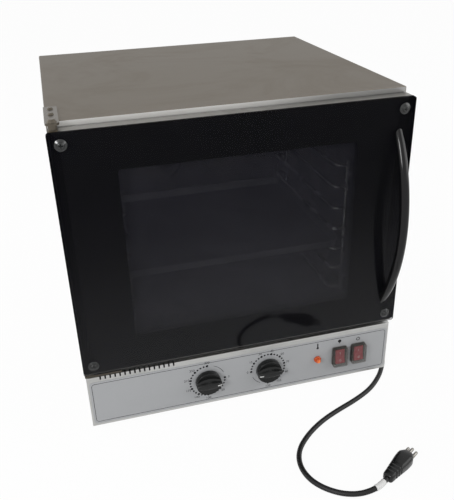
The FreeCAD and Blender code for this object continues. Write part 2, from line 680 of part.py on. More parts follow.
def panel_overlay():
    part = Body("panel_overlay")
    bottom = "foot_height + overlay_rise"
    face = rectangle(part.sketch("front", "panel_front"), both("overlay_width / 2"),
                     (bottom, bottom + " + overlay_height"))
    part.pad(face, "overlay_thickness")
    part.fillet("overlay_radius", lambda edge: runs_along(edge, "y"))
    holes = part.sketch("front", "overlay_front")
    for dial in ("thermostat_x", "timer_x"):
        circle(holes, (dial, "control_z"), "bush_radius + running_gap")
    circle(holes, ("pilot_x", "control_z"), "pilot_neck + running_gap")
    for switch in ("switch_left_x", "switch_right_x"):
        rectangle(holes, around(switch, "switch_width / 2"), around("control_z", "switch_height / 2"))
    part.pocket(holes, "overlay_thickness")


def rear_panel():
    part = Body("rear_panel")
    plate = rectangle(part.sketch("front", "rear_inner"), both("half_inside"), ("floor_pan", "wrap_ceiling"))
    part.pad(plate, "sheet", True)
    holes = part.sketch("front", "rear_inner")
    circle(holes, ("gland_x", "gland_z"), "gland_tip_radius + running_gap")
    for x, z in rear_screw_spots():
        circle(holes, (x, z), "rear_screw_radius + running_gap")
    part.pocket(holes, "sheet")
    for centre in ("-half_width / 2", "0", "half_width / 2"):
        vent = rectangle(part.sketch("front", "rear_inner"), around(centre, "louvre_length / 2"),
                         around("chamber_z - louvre_pitch * (louvre_count - 1) / 2", "louvre_width / 2"))
        slot = part.pocket(vent, "sheet")
        part.row(slot, "z", "louvre_count", "louvre_pitch")


def rear_screw_spots():
    """Screw centres round the rear panel."""
    side = "half_width - rear_screw_inset"
    spots = [(sign + side, height) for sign in ("-", "") for height in (
        "floor_pan + pan_flange + rear_screw_inset", "chamber_z", "cabinet_top - rear_screw_inset")]
    return [(f"{x[0]}({x[1:]})" if x[0] == "-" else x, z) for x, z in spots] + [
        ("0", "cabinet_top - rear_screw_inset")]


def rear_panel_screws():
    screws = []
    for x, z in rear_screw_spots():
        head = cone((x, "cabinet_back", z), "y", "rear_screw_head", "rear_screw_crown", "rear_screw_height")
        shank = cylinder((x, "cabinet_back - rear_screw_length", z), "y", "rear_screw_radius", "rear_screw_length")
        screws.append(fuse(head, shank))
    node("rear_panel_screws", group(*screws))


def front_frame():
    part = Body("front_frame")
    low = "panel_top - frame_lap"
    face = rectangle(part.sketch("front", "cabinet_front"), both("half_inside"), (low, "wrap_ceiling"))
    part.pad(face, "frame_flange", True)
    hollow = rectangle(part.sketch("front", "cabinet_front + frame_flange"), both("half_inside - sheet"),
                       (low + " + sheet", "wrap_ceiling - sheet"))
    part.pocket(hollow, "frame_flange - sheet", True)
    mouth = rectangle(part.sketch("front", "cabinet_front"), both("chamber_half"),
                      ("chamber_floor", "chamber_ceiling"))
    part.pocket(mouth, "sheet")


def feet():
    stand = []
    for x in ("-(half_width - foot_inset)", "half_width - foot_inset"):
        for y in ("cabinet_front + foot_inset", "cabinet_back - foot_inset"):
            stand.append(cone((x, y, "0"), "z", "foot_tread_radius", "foot_radius", "foot_height"))
    node("feet", group(*stand))


# Oven chamber and what heats it

def oven_chamber():
    part = Body("oven_chamber")
    outside = ("chamber_floor - sheet", "chamber_ceiling + sheet")
    shell = rectangle(part.sketch("front", "frame_back"), both("chamber_half + sheet"), outside)
    part.pad(shell, "chamber_depth + sheet", True)
    flange = rectangle(part.sketch("front", "frame_back"), both("chamber_half + chamber_flange"),
                       ("chamber_floor - chamber_flange", "chamber_ceiling + chamber_flange"))
    part.pad(flange, "sheet", True)
    inside = rectangle(part.sketch("front", "frame_back"), both("chamber_half"),
                       ("chamber_floor", "chamber_ceiling"))
    part.pocket(inside, "chamber_depth")
    holes = part.sketch("front", "chamber_back")
    circle(holes, ("0", "chamber_z"), "motor_neck_radius + running_gap")
    for lead in heater_lead_spots():
        circle(holes, lead, "heater_tube + running_gap")
    part.pocket(holes, "sheet")
    lamp = circle(part.sketch("side", "-chamber_half"), ("lamp_y", "lamp_z"), "lamp_socket_radius + running_gap")
    part.pocket(lamp, "sheet")


def heater_lead_spots():
    """Where the heating element's leads pass the rear wall."""
    half = "(heater_opening / 2)"
    away = f"(heater_ring * sin({half} * 1 deg) - heater_bend * cos({half} * 1 deg))"
    drop = f"(heater_ring * cos({half} * 1 deg) + heater_bend * sin({half} * 1 deg))"
    return [(f"-{away}", f"chamber_z - {drop}"), (away, f"chamber_z - {drop}")]


def insulation_blanket():
    part = Body("insulation_blanket")
    start = "frame_back + frame_flange"
    outside = rectangle(part.sketch("front", start), both("chamber_half + sheet + insulation"),
                        ("chamber_floor - sheet - insulation", "chamber_ceiling + sheet + insulation"))
    part.pad(outside, "chamber_depth - frame_flange", True)
    inside = rectangle(part.sketch("front", start), both("chamber_half + sheet"),
                       ("chamber_floor - sheet", "chamber_ceiling + sheet"))
    part.pocket(inside, "chamber_depth - frame_flange")
    lamp = circle(part.sketch("side", "-chamber_half"), ("lamp_y", "lamp_z"), "lamp_socket_radius + running_gap")
    part.pocket(lamp, "insulation + sheet")


def rear_insulation():
    part = Body("rear_insulation")
    pad = rectangle(part.sketch("front", "chamber_outer"), both("chamber_half"),
                    ("chamber_floor", "chamber_ceiling"))
    part.pad(pad, "insulation_rear", True)
    hole = rectangle(part.sketch("front", "chamber_outer"), both("motor_width / 2 + seat_gap"),
                     around("chamber_z", "motor_height / 2 + seat_gap"))
    for lead in heater_lead_spots():
        circle(hole, lead, "heater_tube + running_gap")
    part.pocket(hole, "insulation_rear")


def fan_baffle():
    """A folded plate whose intake is a ring of radial slots on the fan's axis."""
    part = Body("fan_baffle")
    place(part.body, ("0", "chamber_back", "chamber_z"), "front")
    block = rectangle(part.sketch("top"), both("baffle_width / 2"), both("baffle_height / 2"))
    part.pad(block, "baffle_gap")
    hollow = rectangle(part.sketch("top"), both("baffle_width / 2"), both("baffle_height / 2 - sheet"))
    part.pocket(hollow, "baffle_gap - sheet", True)
    vent = rectangle(part.sketch("top", "baffle_gap"), ("intake_inner", "intake_outer"), both("intake_width / 2"))
    slot = part.pocket(vent, "sheet")
    part.ring(slot, "intake_count")


def fan_motor():
    depth = ("chamber_outer", "chamber_outer + motor_depth")
    core = box(both("motor_width / 2"), depth, around("chamber_z", "motor_height / 2"))
    neck = cylinder(("0", "chamber_back", "chamber_z"), "y", "motor_neck_radius", "sheet * 2")
    bore = cylinder(("0", "chamber_back", "chamber_z"), "y", "fan_shaft_radius + running_gap", "motor_depth")
    node("fan_motor", cut(fuse(core, neck), bore))


def fan_shaft():
    node("fan_shaft", cylinder(("0", "fan_back - fan_height - sheet", "chamber_z"), "y", "fan_shaft_radius",
                               "fan_height + fan_gap + motor_depth * 0.8"))


def fan_impeller():
    part = Body("fan_impeller")
    place(part.body, ("0", "fan_back", "chamber_z"), "front")
    part.pad(circle(part.sketch("top"), ("0", "0"), "fan_radius"), "fan_disc")
    part.pad(circle(part.sketch("top"), ("0", "0"), "fan_hub_radius"), "fan_height")
    lean = "fan_radius * 0.12"
    blade_line = [
        ("fan_hub_radius * 0.9", "0"), ("fan_radius * 0.97", lean),
        ("fan_radius * 0.97", f"{lean} + fan_disc"), ("fan_hub_radius * 0.9", "fan_disc"),
    ]
    blade = part.pad(outline(part.sketch("top"), blade_line), "fan_height")
    part.ring(blade, "fan_blades")
    part.pocket(circle(part.sketch("top", "fan_height"), ("0", "0"), "fan_shaft_radius"), "fan_height")


def heating_element():
    """A tube bent into an open ring, with both ends turned back through the rear wall."""
    ring = value("heater_ring")
    bend = value("heater_bend")
    half = math.radians(value("heater_opening") / 2)
    level = -value("heater_offset")
    tail = value("sheet + heater_tail")

    def spot(angle, lift=0.0):
        return Vector(ring * math.sin(angle), level + lift, -ring * math.cos(angle))

    def lead(side):
        start = spot(side * half)
        inward = Vector(-side * math.cos(half), 0, -math.sin(half))
        middle = start + inward * (bend * math.sin(math.pi / 4)) + Vector(0, bend * (1 - math.cos(math.pi / 4)), 0)
        turned = start + inward * bend + Vector(0, bend, 0)
        back = Vector(turned.x, tail, turned.z)
        return start, middle, turned, back

    right = lead(1)
    left = lead(-1)
    edges = [
        Part.LineSegment(left[3], left[2]).toShape(),
        Part.Arc(left[2], left[1], left[0]).toShape(),
        Part.Arc(left[0], spot(math.pi), right[0]).toShape(),
        Part.Arc(right[0], right[1], right[2]).toShape(),
        Part.LineSegment(right[2], right[3]).toShape(),
    ]
    path = Part.Wire(edges)
    section = Part.Wire(Part.makeCircle(value("heater_tube"), left[3], Vector(0, -1, 0)))
    obj = doc.addObject("Part::Feature", "heating_element")
    obj.Shape = path.makePipeShell([section], True, False)
    place(obj, ("0", "chamber_back", "chamber_z"))
    node("heating_element", obj)


def oven_lamp():
    wall = "-chamber_half"
    socket = cylinder((f"{wall} - lamp_socket_depth", "lamp_y", "lamp_z"), "x", "lamp_socket_radius",
                      "lamp_socket_depth")
    node("oven_lamp_holder", socket)
    part = Body("oven_lamp_lens")
    place(part.body, (wall, "lamp_y", "lamp_z"), "x")
    dome = [
        ("0", "0"), ("lamp_radius", "0"), ("lamp_radius", "lamp_dome * 0.35"),
        ("lamp_radius * 0.7", "lamp_dome"), ("0", "lamp_dome"),
    ]
    part.revolve(outline(part.sketch("front"), dome))


def tray_rack(name, sign):
    """Two posts, their wall stubs and one bent runner wire for each level."""
    side = -1 if sign == "-" else 1
    part = Body(name)
    post_x = f"{sign}(chamber_half - rack_post_inset)"
    runner_x = f"{sign}(chamber_half - rack_inset)"
    ends = ("rack_post_y", "rack_post_y + rack_length")
    top = "rack_first + rack_pitch * (rack_levels - 1) + rack_wire * 2"
    post_line = part.sketch("top", "chamber_floor")
    for y in ends:
        circle(post_line, (post_x, y), "rack_wire")
    part.pad(post_line, top)
    stub_line = part.sketch("side", post_x)
    for y in ends:
        for z in ("rack_z + rack_pitch / 2", "rack_z + rack_pitch * (rack_levels - 1.5)"):
            circle(stub_line, (y, z), "rack_wire")
    part.pad(stub_line, "rack_post_inset", side < 0)
    path = part.sketch("top", "rack_z")
    bend = value("rack_bend")
    x_post, x_run = value(post_x), value(runner_x)
    y_low, y_high = value(ends[0]), value(ends[1])
    inward = -side
    corner = bend * (1 - math.sin(math.pi / 4))
    low_arc = (Vector(x_run - inward * bend, y_low, 0), Vector(x_run - inward * corner, y_low + corner, 0),
               Vector(x_run, y_low + bend, 0))
    high_arc = (Vector(x_run, y_high - bend, 0), Vector(x_run - inward * corner, y_high - corner, 0),
                Vector(x_run - inward * bend, y_high, 0))
    path.addGeometry(Part.LineSegment(Vector(x_post, y_low, 0), low_arc[0]))
    path.addGeometry(Part.Arc(*low_arc))
    path.addGeometry(Part.LineSegment(low_arc[2], high_arc[0]))
    path.addGeometry(Part.Arc(*high_arc))
    path.addGeometry(Part.LineSegment(high_arc[2], Vector(x_post, y_high, 0)))
    section = circle(part.sketch("side", post_x), ("rack_post_y", "rack_z"), "rack_wire")
    wire = part.feature("AdditivePipe", section)
    wire.Spine = path
    part.row(wire, "z", "rack_levels", "rack_pitch")


def baking_tray():
    """A shallow pan with sloping sides that sits on the runners."""
    part = Body("baking_tray")
    base = "tray_base + seat_gap"

    def level(height, inset):
        spread = f"(tray_slope * (1 - ({height}) / tray_height) + ({inset}))"
        made = part.sketch("top", f"{base} + {height}")
        return rounded(made, both(f"tray_width / 2 - {spread}"),
                       (f"tray_y + {spread}", f"tray_y + tray_depth - {spread}"), f"tray_radius - {spread}")

    for kind, height, inset in (("AdditiveLoft", "0", "0"), ("SubtractiveLoft", "sheet", "sheet")):
        made = part.feature(kind, level(height, inset))
        made.Sections = [level("tray_height", inset)]
        made.Ruled = True


# Door

def door_glass():
    part = Body("door_glass")
    pane = rectangle(part.sketch("front", "glass_front"), both("glass_half"), ("glass_bottom", "glass_top"))
    part.pad(pane, "glass_thickness", True)
    part.fillet("glass_radius", lambda edge: runs_along(edge, "y"))
    part.pocket(glass_holes(part.sketch("front", "glass_front")), "glass_thickness")


def glass_holes(sketch):
    """Corner screw holes and handle screw holes."""
    for x in both("screw_x"):
        for z in ("screw_low", "screw_high"):
            circle(sketch, (x, z), "glass_hole_radius")
    for z in handle_screw_heights():
        circle(sketch, ("handle_x", z), "handle_screw_radius + running_gap")
    return sketch


def handle_screw_heights():
    return ("handle_low + handle_screw_inset", "handle_low + handle_span - handle_screw_inset")


def glass_border():
    part = Body("glass_border")
    pane = rectangle(part.sketch("front", "glass_back"), both("glass_half"), ("glass_bottom", "glass_top"))
    part.pad(pane, "ink_thickness", True)
    part.fillet("glass_radius", lambda edge: runs_along(edge, "y"))
    window = rectangle(part.sketch("front", "glass_back"), both("window_width / 2"),
                       ("window_bottom", "window_top"))
    part.pocket(window, "ink_thickness")
    half = value("window_width / 2")
    part.fillet("window_radius", lambda edge: runs_along(edge, "y") and abs(abs(edge.BoundBox.Center.x) - half) < 1e-3)
    part.pocket(glass_holes(part.sketch("front", "glass_back")), "ink_thickness")


def door_frame():
    part = Body("door_frame")
    outside = rectangle(part.sketch("front", "ink_back"), both("door_frame_half"),
                        ("door_frame_bottom", "door_frame_top"))
    part.pad(outside, "door_back - ink_back", True)
    inside = rectangle(part.sketch("front", "ink_back"), both("door_frame_half - sheet"),
                       ("door_frame_bottom + sheet", "door_frame_top - sheet"))
    part.pocket(inside, "door_web - ink_back")
    opening = rectangle(part.sketch("front", "door_web"), both("web_half"), ("web_bottom", "web_top"))
    part.pocket(opening, "sheet")
    for level in ("door_frame_top", "door_frame_bottom + sheet"):
        bush = circle(part.sketch("top", level), ("hinge_x", "hinge_y"), "hinge_bush_radius")
        part.pocket(bush, "sheet")


def inner_glass():
    part = Body("inner_glass")
    pane = rectangle(part.sketch("front", "pane_front"), both("pane_half"), ("pane_bottom", "pane_top"))
    part.pad(pane, "inner_glass_thickness", True)
    part.fillet("glass_radius", lambda edge: runs_along(edge, "y"))


def inner_glass_clips():
    """One clip at the middle of each side of the inner pane."""
    clips = []
    lap = ("pane_front - clip_thickness", "pane_front")
    foot = ("pane_front - clip_thickness", "door_web")
    for sign in ("-", ""):
        edge = f"{sign}pane_half"
        grip = f"{sign}(pane_half - clip_lap)"
        end = f"{sign}(pane_half + clip_foot)"
        across = around("window_z", "clip_width / 2")
        tongue = box(sorted((grip, edge), key=value), lap, across)
        clips.append(fuse(tongue, box(sorted((edge, end), key=value), foot, across)))
    for edge, sign in (("pane_bottom", "-"), ("pane_top", "+")):
        inward = "+" if sign == "-" else "-"
        across = both("clip_width / 2")
        tongue = box(across, lap, sorted((f"{edge} {inward} clip_lap", edge), key=value))
        clips.append(fuse(tongue, box(across, foot, sorted((edge, f"{edge} {sign} clip_foot"), key=value))))
    node("inner_glass_clips", group(*clips))


def glass_fixings():
    """Standoffs, cup washers and screws at the glass's corners."""
    standoffs, washers, screws = [], [], []
    for x in both("screw_x"):
        for z in ("screw_low", "screw_high"):
            post = cylinder((x, "ink_back", z), "y", "standoff_radius", "door_web - ink_back")
            bore = cylinder((x, "ink_back", z), "y", "glass_screw_radius + running_gap", "glass_screw_length")
            standoffs.append(cut(post, bore))
            cup = cone((x, "glass_front", z), "front", "washer_radius", "glass_head_radius", "washer_height")
            hole = cylinder((x, "glass_front", z), "front", "glass_screw_radius + running_gap", "washer_height")
            washers.append(cut(cup, hole))
            seat = "glass_front - washer_height"
            head = cone((x, seat, z), "front", "glass_head_radius", "glass_head_crown", "glass_head_height")
            screws.append(fuse(head, cylinder((x, seat, z), "y", "glass_screw_radius", "glass_screw_length")))
    node("glass_standoffs", group(*standoffs))
    node("glass_washers", group(*washers))
    node("glass_screws", group(*screws))


def door_handle():
    """A round bar bent to an arc whose ends meet the glass."""
    hoop = doc.addObject("Part::Torus", "hoop")
    hoop.setExpression("Radius1", bound("handle_arc"))
    hoop.setExpression("Radius2", bound("handle_diameter / 2"))
    place(hoop, ("handle_x", "handle_centre", "handle_middle"), "x")
    front = box(around("handle_x", "handle_diameter"), ("glass_front - handle_reach * 2", "glass_front"),
                around("handle_middle", "handle_span"))
    bow = doc.addObject("Part::Common", "bow")
    bow.Base = hoop
    bow.Tool = front
    bores = [cylinder(("handle_x", "glass_front", z), "front", "handle_screw_radius + running_gap",
                      "handle_screw_grip + seat_gap") for z in handle_screw_heights()]
    node("door_handle", cut(bow, *bores))
    screws = []
    for z in handle_screw_heights():
        shank = cylinder(("handle_x", "ink_back", z), "front", "handle_screw_radius",
                         "ink_back - glass_front + handle_screw_grip")
        screws.append(fuse(shank, cylinder(("handle_x", "ink_back", z), "y", "handle_screw_head",
                                           "handle_screw_radius")))
    node("handle_screws", group(*screws))


# Hinges, seal and catch

def hinges():
    pivot = ("hinge_x", "hinge_y")
    half = "hinge_strap_width / 2"
    clear = "hinge_bore"
    strap = Body("upper_hinge_bracket")
    plate = rectangle(strap.sketch("top", "cabinet_top"), around("hinge_x", half), (f"hinge_y - {half}", "strap_back"))
    strap.pad(plate, "hinge_plate")
    strap.fillet("hinge_strap_width / 2 - sheet", lambda edge: runs_along(edge, "z")
                 and edge.BoundBox.Center.y < value("hinge_y"))
    holes = circle(strap.sketch("top", "strap_top"), pivot, clear)
    for y in strap_screw_rows():
        circle(holes, ("hinge_x", y), "hinge_screw_radius + running_gap")
    strap.pocket(holes, "hinge_plate")

    bracket = Body("lower_hinge_bracket")
    plate = rectangle(bracket.sketch("top", "panel_top"), (f"hinge_x - {half}", "bracket_end"),
                      ("panel_front + bend_radius", "cabinet_front"))
    bracket.pad(plate, "hinge_plate")
    holes = circle(bracket.sketch("top", "bracket_top"), pivot, clear)
    for x in bracket_screw_columns():
        circle(holes, (x, bracket_screw_row()), "hinge_screw_radius + running_gap")
    bracket.pocket(holes, "hinge_plate")

    collar_low = "upper_flange_top + seat_gap"
    pin_low = "door_frame_top - hinge_pin_reach"
    upper = fuse(
        cylinder(pivot + (pin_low,), "z", "hinge_pin_radius", f"strap_top - ({pin_low})"),
        cylinder(pivot + (collar_low,), "z", "hinge_collar_radius", f"cabinet_top - ({collar_low})"),
        cone(pivot + ("strap_top",), "z", "hinge_head_radius", "hinge_head_crown", "hinge_head_height"))
    node("upper_hinge_pin", upper)
    collar_top = "lower_flange_bottom - seat_gap"
    pin_high = "door_frame_bottom + hinge_pin_reach"
    lower = fuse(
        cylinder(pivot + ("panel_top",), "z", "hinge_pin_radius", f"{pin_high} - panel_top"),
        cylinder(pivot + ("bracket_top",), "z", "hinge_collar_radius", f"{collar_top} - bracket_top"))
    node("lower_hinge_pin", lower)

    bushes = []
    for wall, along, start in (("door_frame_top", "down", "upper_flange_top"),
                               ("door_frame_bottom", "z", "lower_flange_bottom")):
        flange = cylinder(pivot + (start,), along, "hinge_flange_radius", "hinge_flange")
        sleeve = cylinder(pivot + (start,), along, "hinge_bush_radius", "hinge_flange + hinge_pin_reach")
        bore = cylinder(pivot + (start,), along, clear, "hinge_flange + hinge_pin_reach")
        bushes.append(cut(fuse(flange, sleeve), bore))
    node("hinge_bushes", group(*bushes))

    spots = [("hinge_x", y, "strap_top") for y in strap_screw_rows()]
    spots += [(x, bracket_screw_row(), "bracket_top") for x in bracket_screw_columns()]
    screws = []
    for x, y, z in spots:
        head = cone((x, y, z), "z", "hinge_screw_head", "hinge_screw_crown", "hinge_screw_height")
        screws.append(fuse(head, cylinder((x, y, z), "down", "hinge_screw_radius", "hinge_plate")))
    node("hinge_bracket_screws", group(*screws))


def strap_screw_rows():
    return ("strap_back - hinge_strap_run * 0.53", "strap_back - hinge_strap_run * 0.16")


def bracket_screw_columns():
    return ("bracket_end - hinge_strap_width * 1.3", "bracket_end - hinge_strap_width * 0.45")


def bracket_screw_row():
    return "(panel_front + bend_radius + cabinet_front) / 2"


def door_gasket():
    part = Body("door_gasket")
    depth = "door_gap - seat_gap"
    outside = rectangle(part.sketch("front", "cabinet_front"), both("chamber_half + gasket_margin + gasket_width"),
                        ("chamber_floor - gasket_margin - gasket_width",
                         "chamber_ceiling + gasket_margin + gasket_width"))
    part.pad(outside, depth)
    part.fillet("gasket_radius + gasket_width", lambda edge: runs_along(edge, "y"))
    inside = rectangle(part.sketch("front", f"cabinet_front - ({depth})"), both("chamber_half + gasket_margin"),
                       ("chamber_floor - gasket_margin", "chamber_ceiling + gasket_margin"))
    part.pocket(inside, depth)
    half = value("chamber_half + gasket_margin")
    part.fillet("gasket_radius", lambda edge: runs_along(edge, "y")
                and abs(abs(edge.BoundBox.Center.x) - half) < 1e-3)


def magnetic_catch():
    right = "glass_half - catch_inset"
    node("magnetic_catch", box((f"{right} - catch_width", right), ("cabinet_front - door_gap + seat_gap",
                               "cabinet_front"), around("window_z", "catch_height / 2")))


# Controls

def dial(kind, width, depth):
    """A dial's body behind the panel, its shaft and its knob."""
    x = f"{kind}_x"
    case = box(around(x, f"{width} / 2"), ("panel_inner", f"panel_inner + {depth}"),
               around("control_z", f"{width} / 2"))
    neck = cylinder((x, "overlay_front", "control_z"), "y", "bush_radius", "overlay_thickness + panel_sheet * 2")
    bore = cylinder((x, "overlay_front", "control_z"), "y", "shaft_radius + running_gap", f"{depth} * 0.6")
    node(f"{kind}_body", cut(fuse(case, neck), bore))
    shaft_front = "overlay_front - knob_gap - knob_bore_depth"
    node(f"{kind}_shaft", cylinder((x, shaft_front, "control_z"), "y", "shaft_radius",
                                   f"knob_bore_depth + knob_gap + {depth} * 0.5"))
    knob = Body(f"{kind}_knob")
    place(knob.body, (x, "overlay_front - knob_gap", "control_z"), "front")
    profile = [
        ("shaft_radius", "0"), ("knob_radius", "0"), ("knob_radius", "knob_rim"),
        ("knob_crown_radius", "knob_skirt"), ("0", "knob_skirt"), ("0", "knob_bore_depth"),
        ("shaft_radius", "knob_bore_depth"),
    ]
    knob.revolve(outline(knob.sketch("front"), profile))
    grip = rectangle(knob.sketch("top", "knob_bore_depth"), both("knob_crown_radius - sheet"), both("knob_grip / 2"))
    knob.pad(grip, "knob_height - knob_bore_depth")
    knob.fillet("knob_grip / 2 - sheet / 2", lambda edge: runs_along(edge, "z") and edge.Length > value("sheet"))
    knob.fillet("sheet", lambda edge: near(edge, "z", "knob_height"))


def pilot_lamp():
    at = ("pilot_x", "overlay_front", "control_z")
    part = Body("pilot_lamp_lens")
    place(part.body, at, "front")
    dome = "pilot_height + pilot_radius * 0.6"
    profile = [
        ("0", "0"), ("pilot_radius", "0"), ("pilot_radius", "pilot_height"),
        ("pilot_radius * 0.75", dome), ("0", dome),
    ]
    part.revolve(outline(part.sketch("front"), profile))
    part.fillet("pilot_radius * 0.2", lambda edge: edge.BoundBox.ZLength < 1e-4
                and edge.BoundBox.Center.z > value("pilot_height") - 1e-3)
    node("pilot_lamp_body", cylinder(at, "y", "pilot_neck", "pilot_length"))


def rocker_switch(side):
    """A housing clipped in the panel, its tilting rocker and the clear cover over both."""
    x = f"switch_{side}_x"
    z = "control_z"
    half = "rocker_width / 2 + rocker_gap"
    well = "rocker_radius + rocker_gap"
    case = fuse(
        box(around(x, "switch_width / 2"), ("overlay_front", "panel_inner + switch_depth"),
            around(z, "switch_height / 2")),
        box(around(x, "bezel_width / 2"), ("bezel_front", "overlay_front"), around(z, "bezel_height / 2")))
    cavity = box(around(x, half), ("bezel_front", "rocker_y + rocker_foot + rocker_radius / 2"), around(z, well))
    pin_hole = cylinder((f"{x} - switch_width / 2", "rocker_y", z), "x", "rocker_pin_radius + running_gap",
                        "switch_width")
    node(f"switch_housing_{side}", cut(case, cavity, pin_hole))

    part = Body(f"switch_rocker_{side}")
    place(part.body, (x, "rocker_y", z), "front")
    part.body.Placement = Placement(Vector(), Rotation(Vector(1, 0, 0), 90 - value("rocker_tilt")))
    part.body.setExpression("Placement.Rotation.Angle", bound("90 - rocker_tilt"))
    end = "rocker_radius * tan(rocker_tilt * 1 deg)"
    blade = [
        ("-rocker_radius", "-rocker_foot"), ("rocker_radius", "-rocker_foot"),
        ("rocker_radius", f"rocker_crown + {end}"), ("0", "rocker_crown"),
        ("-rocker_radius", f"rocker_crown + {end}"),
    ]
    part.pad(outline(part.sketch("side", "-rocker_width / 2"), blade), "rocker_width")
    part.fillet("sheet", lambda edge: runs_along(edge, "x") and abs(edge.BoundBox.Center.y) > 1)
    pins = circle(part.sketch("side", "-switch_width / 2"), ("0", "0"), "rocker_pin_radius")
    part.pad(pins, "switch_width")

    cover = Body(f"switch_cover_{side}")
    face = rectangle(cover.sketch("front", "overlay_front"), around(x, "cover_width / 2"),
                     around(z, "cover_height / 2"))
    cover.pad(face, "cover_depth")
    cover.fillet("cover_radius", lambda edge: runs_along(edge, "y"))
    cover.fillet("cover_wall", lambda edge: near(edge, "y", "cover_front"))
    hollow = rectangle(cover.sketch("front", "overlay_front"), around(x, "cover_width / 2 - cover_wall"),
                       around(z, "cover_height / 2 - cover_wall"))
    cover.pocket(hollow, "cover_depth - cover_wall", True)


# Mains supply

def terminal_block():
    node("terminal_block", box(around("gland_x", "terminal_length / 2"),
                               ("cabinet_back - terminal_setback", "cabinet_back - terminal_setback + terminal_width"),
                               ("floor_pan", "floor_pan + terminal_height")))


def cable_gland():
    """A nut outside the rear panel and a tapered sleeve for the lead."""
    at = ("gland_x", "cabinet_back", "gland_z")
    nut = cylinder(at, "y", "gland_radius", "gland_nut")
    sleeve = cone(at, "y", "gland_base_radius", "gland_tip_radius", "gland_length")
    neck = cylinder(("gland_x", "cabinet_back - rear_lip", "gland_z"), "y", "gland_tip_radius", "rear_lip")
    node("cable_gland", fuse(nut, sleeve, neck))


def rounded_path(points):
    """Straight runs joined by arcs as large as their runs allow."""
    spots = list(points)
    edges = []
    radii = []
    start = spots[0]
    for before, corner, after in zip(spots, spots[1:], spots[2:]):
        back = (before - corner).normalize()
        ahead = (after - corner).normalize()
        reach = 0.45 * min((before - corner).Length, (after - corner).Length)
        turn = math.pi - back.getAngle(ahead)
        radius = reach / math.tan(turn / 2)
        middle = (back + ahead).normalize()
        inner = corner + middle * (radius / math.cos(turn / 2) - radius)
        edges.append(Part.LineSegment(start, corner + back * reach).toShape())
        edges.append(Part.Arc(corner + back * reach, inner, corner + ahead * reach).toShape())
        start = corner + ahead * reach
        radii.append(radius)
    edges.append(Part.LineSegment(start, spots[-1]).toShape())
    return Part.Wire(edges), radii


def cord_route():
    """The lead's route, moved with the gland."""
    start = Vector(*CORD_ROUTE[0])
    tip = Vector(value("gland_x"), value("cabinet_back + gland_length"), value("gland_z"))
    aside = Vector(tip.x - start.x, tip.y - start.y, 0)
    return [tip] + [Vector(*point) + aside for point in CORD_ROUTE[1:]]


def power_cord():
    radius = value("cord_diameter / 2")
    path, radii = rounded_path(cord_route())
    first = path.Edges[0]
    section = Part.Wire(Part.makeCircle(radius, first.Vertexes[0].Point, first.tangentAt(first.FirstParameter)))
    tube = path.makePipeShell([section], True, False)
    expected = math.pi * radius ** 2 * path.Length
    print(f"lead {path.Length:.0f} mm long, volume {tube.Volume / expected:.4f} of section times length")
    print("lead bend radii", [round(bend) for bend in radii])
    obj = doc.addObject("Part::Feature", "power_cord")
    obj.Shape = tube
    obj.Placement = Placement()
    node("power_cord", obj)


def plug():
    """A moulded plug with a tapered strain relief and three round pins, lying on the floor."""
    entry = cord_route()[-1]
    ahead = entry - cord_route()[-2]
    turn = math.degrees(math.atan2(ahead.y, ahead.x))
    lie = Rotation(Vector(0, 0, 1), turn) * Rotation(Vector(1, 1, 1), 120)
    body = Body("plug_body")
    body.body.Placement = Placement(entry, lie)

    def section(level, width, height):
        return rectangle(body.sketch("top", level), both(f"({width}) / 2"), both(f"({height}) / 2"))

    start = section("0", "cord_diameter + sheet * 2", "cord_diameter + sheet * 2")
    relief = body.feature("AdditiveLoft", start)
    relief.Sections = [section("plug_neck", "plug_waist * 0.75", "plug_waist * 0.75")]
    relief.Ruled = True
    shell = body.feature("AdditiveLoft", section("plug_neck", "plug_waist", "plug_waist"))
    shell.Sections = [section("plug_neck + plug_length * 0.55", "plug_width", "plug_height"),
                      section("plug_neck + plug_length", "plug_width", "plug_height")]
    shell.Ruled = True
    body.fillet("sheet * 2", lambda edge: edge.BoundBox.DiagonalLength > value("plug_length") * 0.4
                and edge.Curve.TypeId == "Part::GeomLine")
    pins = []
    for across, lift in ((-0.5, 0), (0, 1), (0.5, 0)):
        pin = doc.addObject("Part::Cylinder", "pin")
        pin.setExpression("Radius", bound("plug_pin_radius"))
        pin.setExpression("Height", bound("plug_pin_length"))
        offset = Vector(value("plug_pin_pitch") * across, value("plug_pin_offset") * lift,
                        value("plug_neck + plug_length"))
        pin.Placement = Placement(entry + lie.multVec(offset), lie)
        pins.append(pin)
    node("plug_pins", group(*pins))


outer_wrap()
base_pan()
control_panel()
panel_overlay()
rear_panel()
rear_panel_screws()
front_frame()
feet()
oven_chamber()
insulation_blanket()
rear_insulation()
fan_baffle()
fan_motor()
fan_shaft()
fan_impeller()
heating_element()
oven_lamp()
tray_rack("tray_rack_left", "-")
tray_rack("tray_rack_right", "")
baking_tray()
door_glass()
glass_border()
door_frame()
inner_glass()
inner_glass_clips()
glass_fixings()
door_handle()
hinges()
door_gasket()
magnetic_catch()
dial("thermostat", "thermostat_width", "thermostat_depth")
dial("timer", "timer_width", "timer_depth")
pilot_lamp()
rocker_switch("left")
rocker_switch("right")
terminal_block()
cable_gland()
power_cord()
plug()
doc.recompute()

for obj in doc.Objects:
    if "Invalid" in obj.State or "Error" in obj.State:
        raise RuntimeError(f"{obj.Label} ({obj.Name}) failed: {obj.State}")
for name, obj in NODES.items():
    if obj.Shape.isNull() or not obj.Shape.isValid():
        raise RuntimeError(f"{name} has no valid shape")
os.makedirs("parts", exist_ok=True)
for name, obj in NODES.items():
    obj.Shape.exportStep(f"parts/{name}.step")
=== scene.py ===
import json
import math
from functools import wraps
from typing import NamedTuple

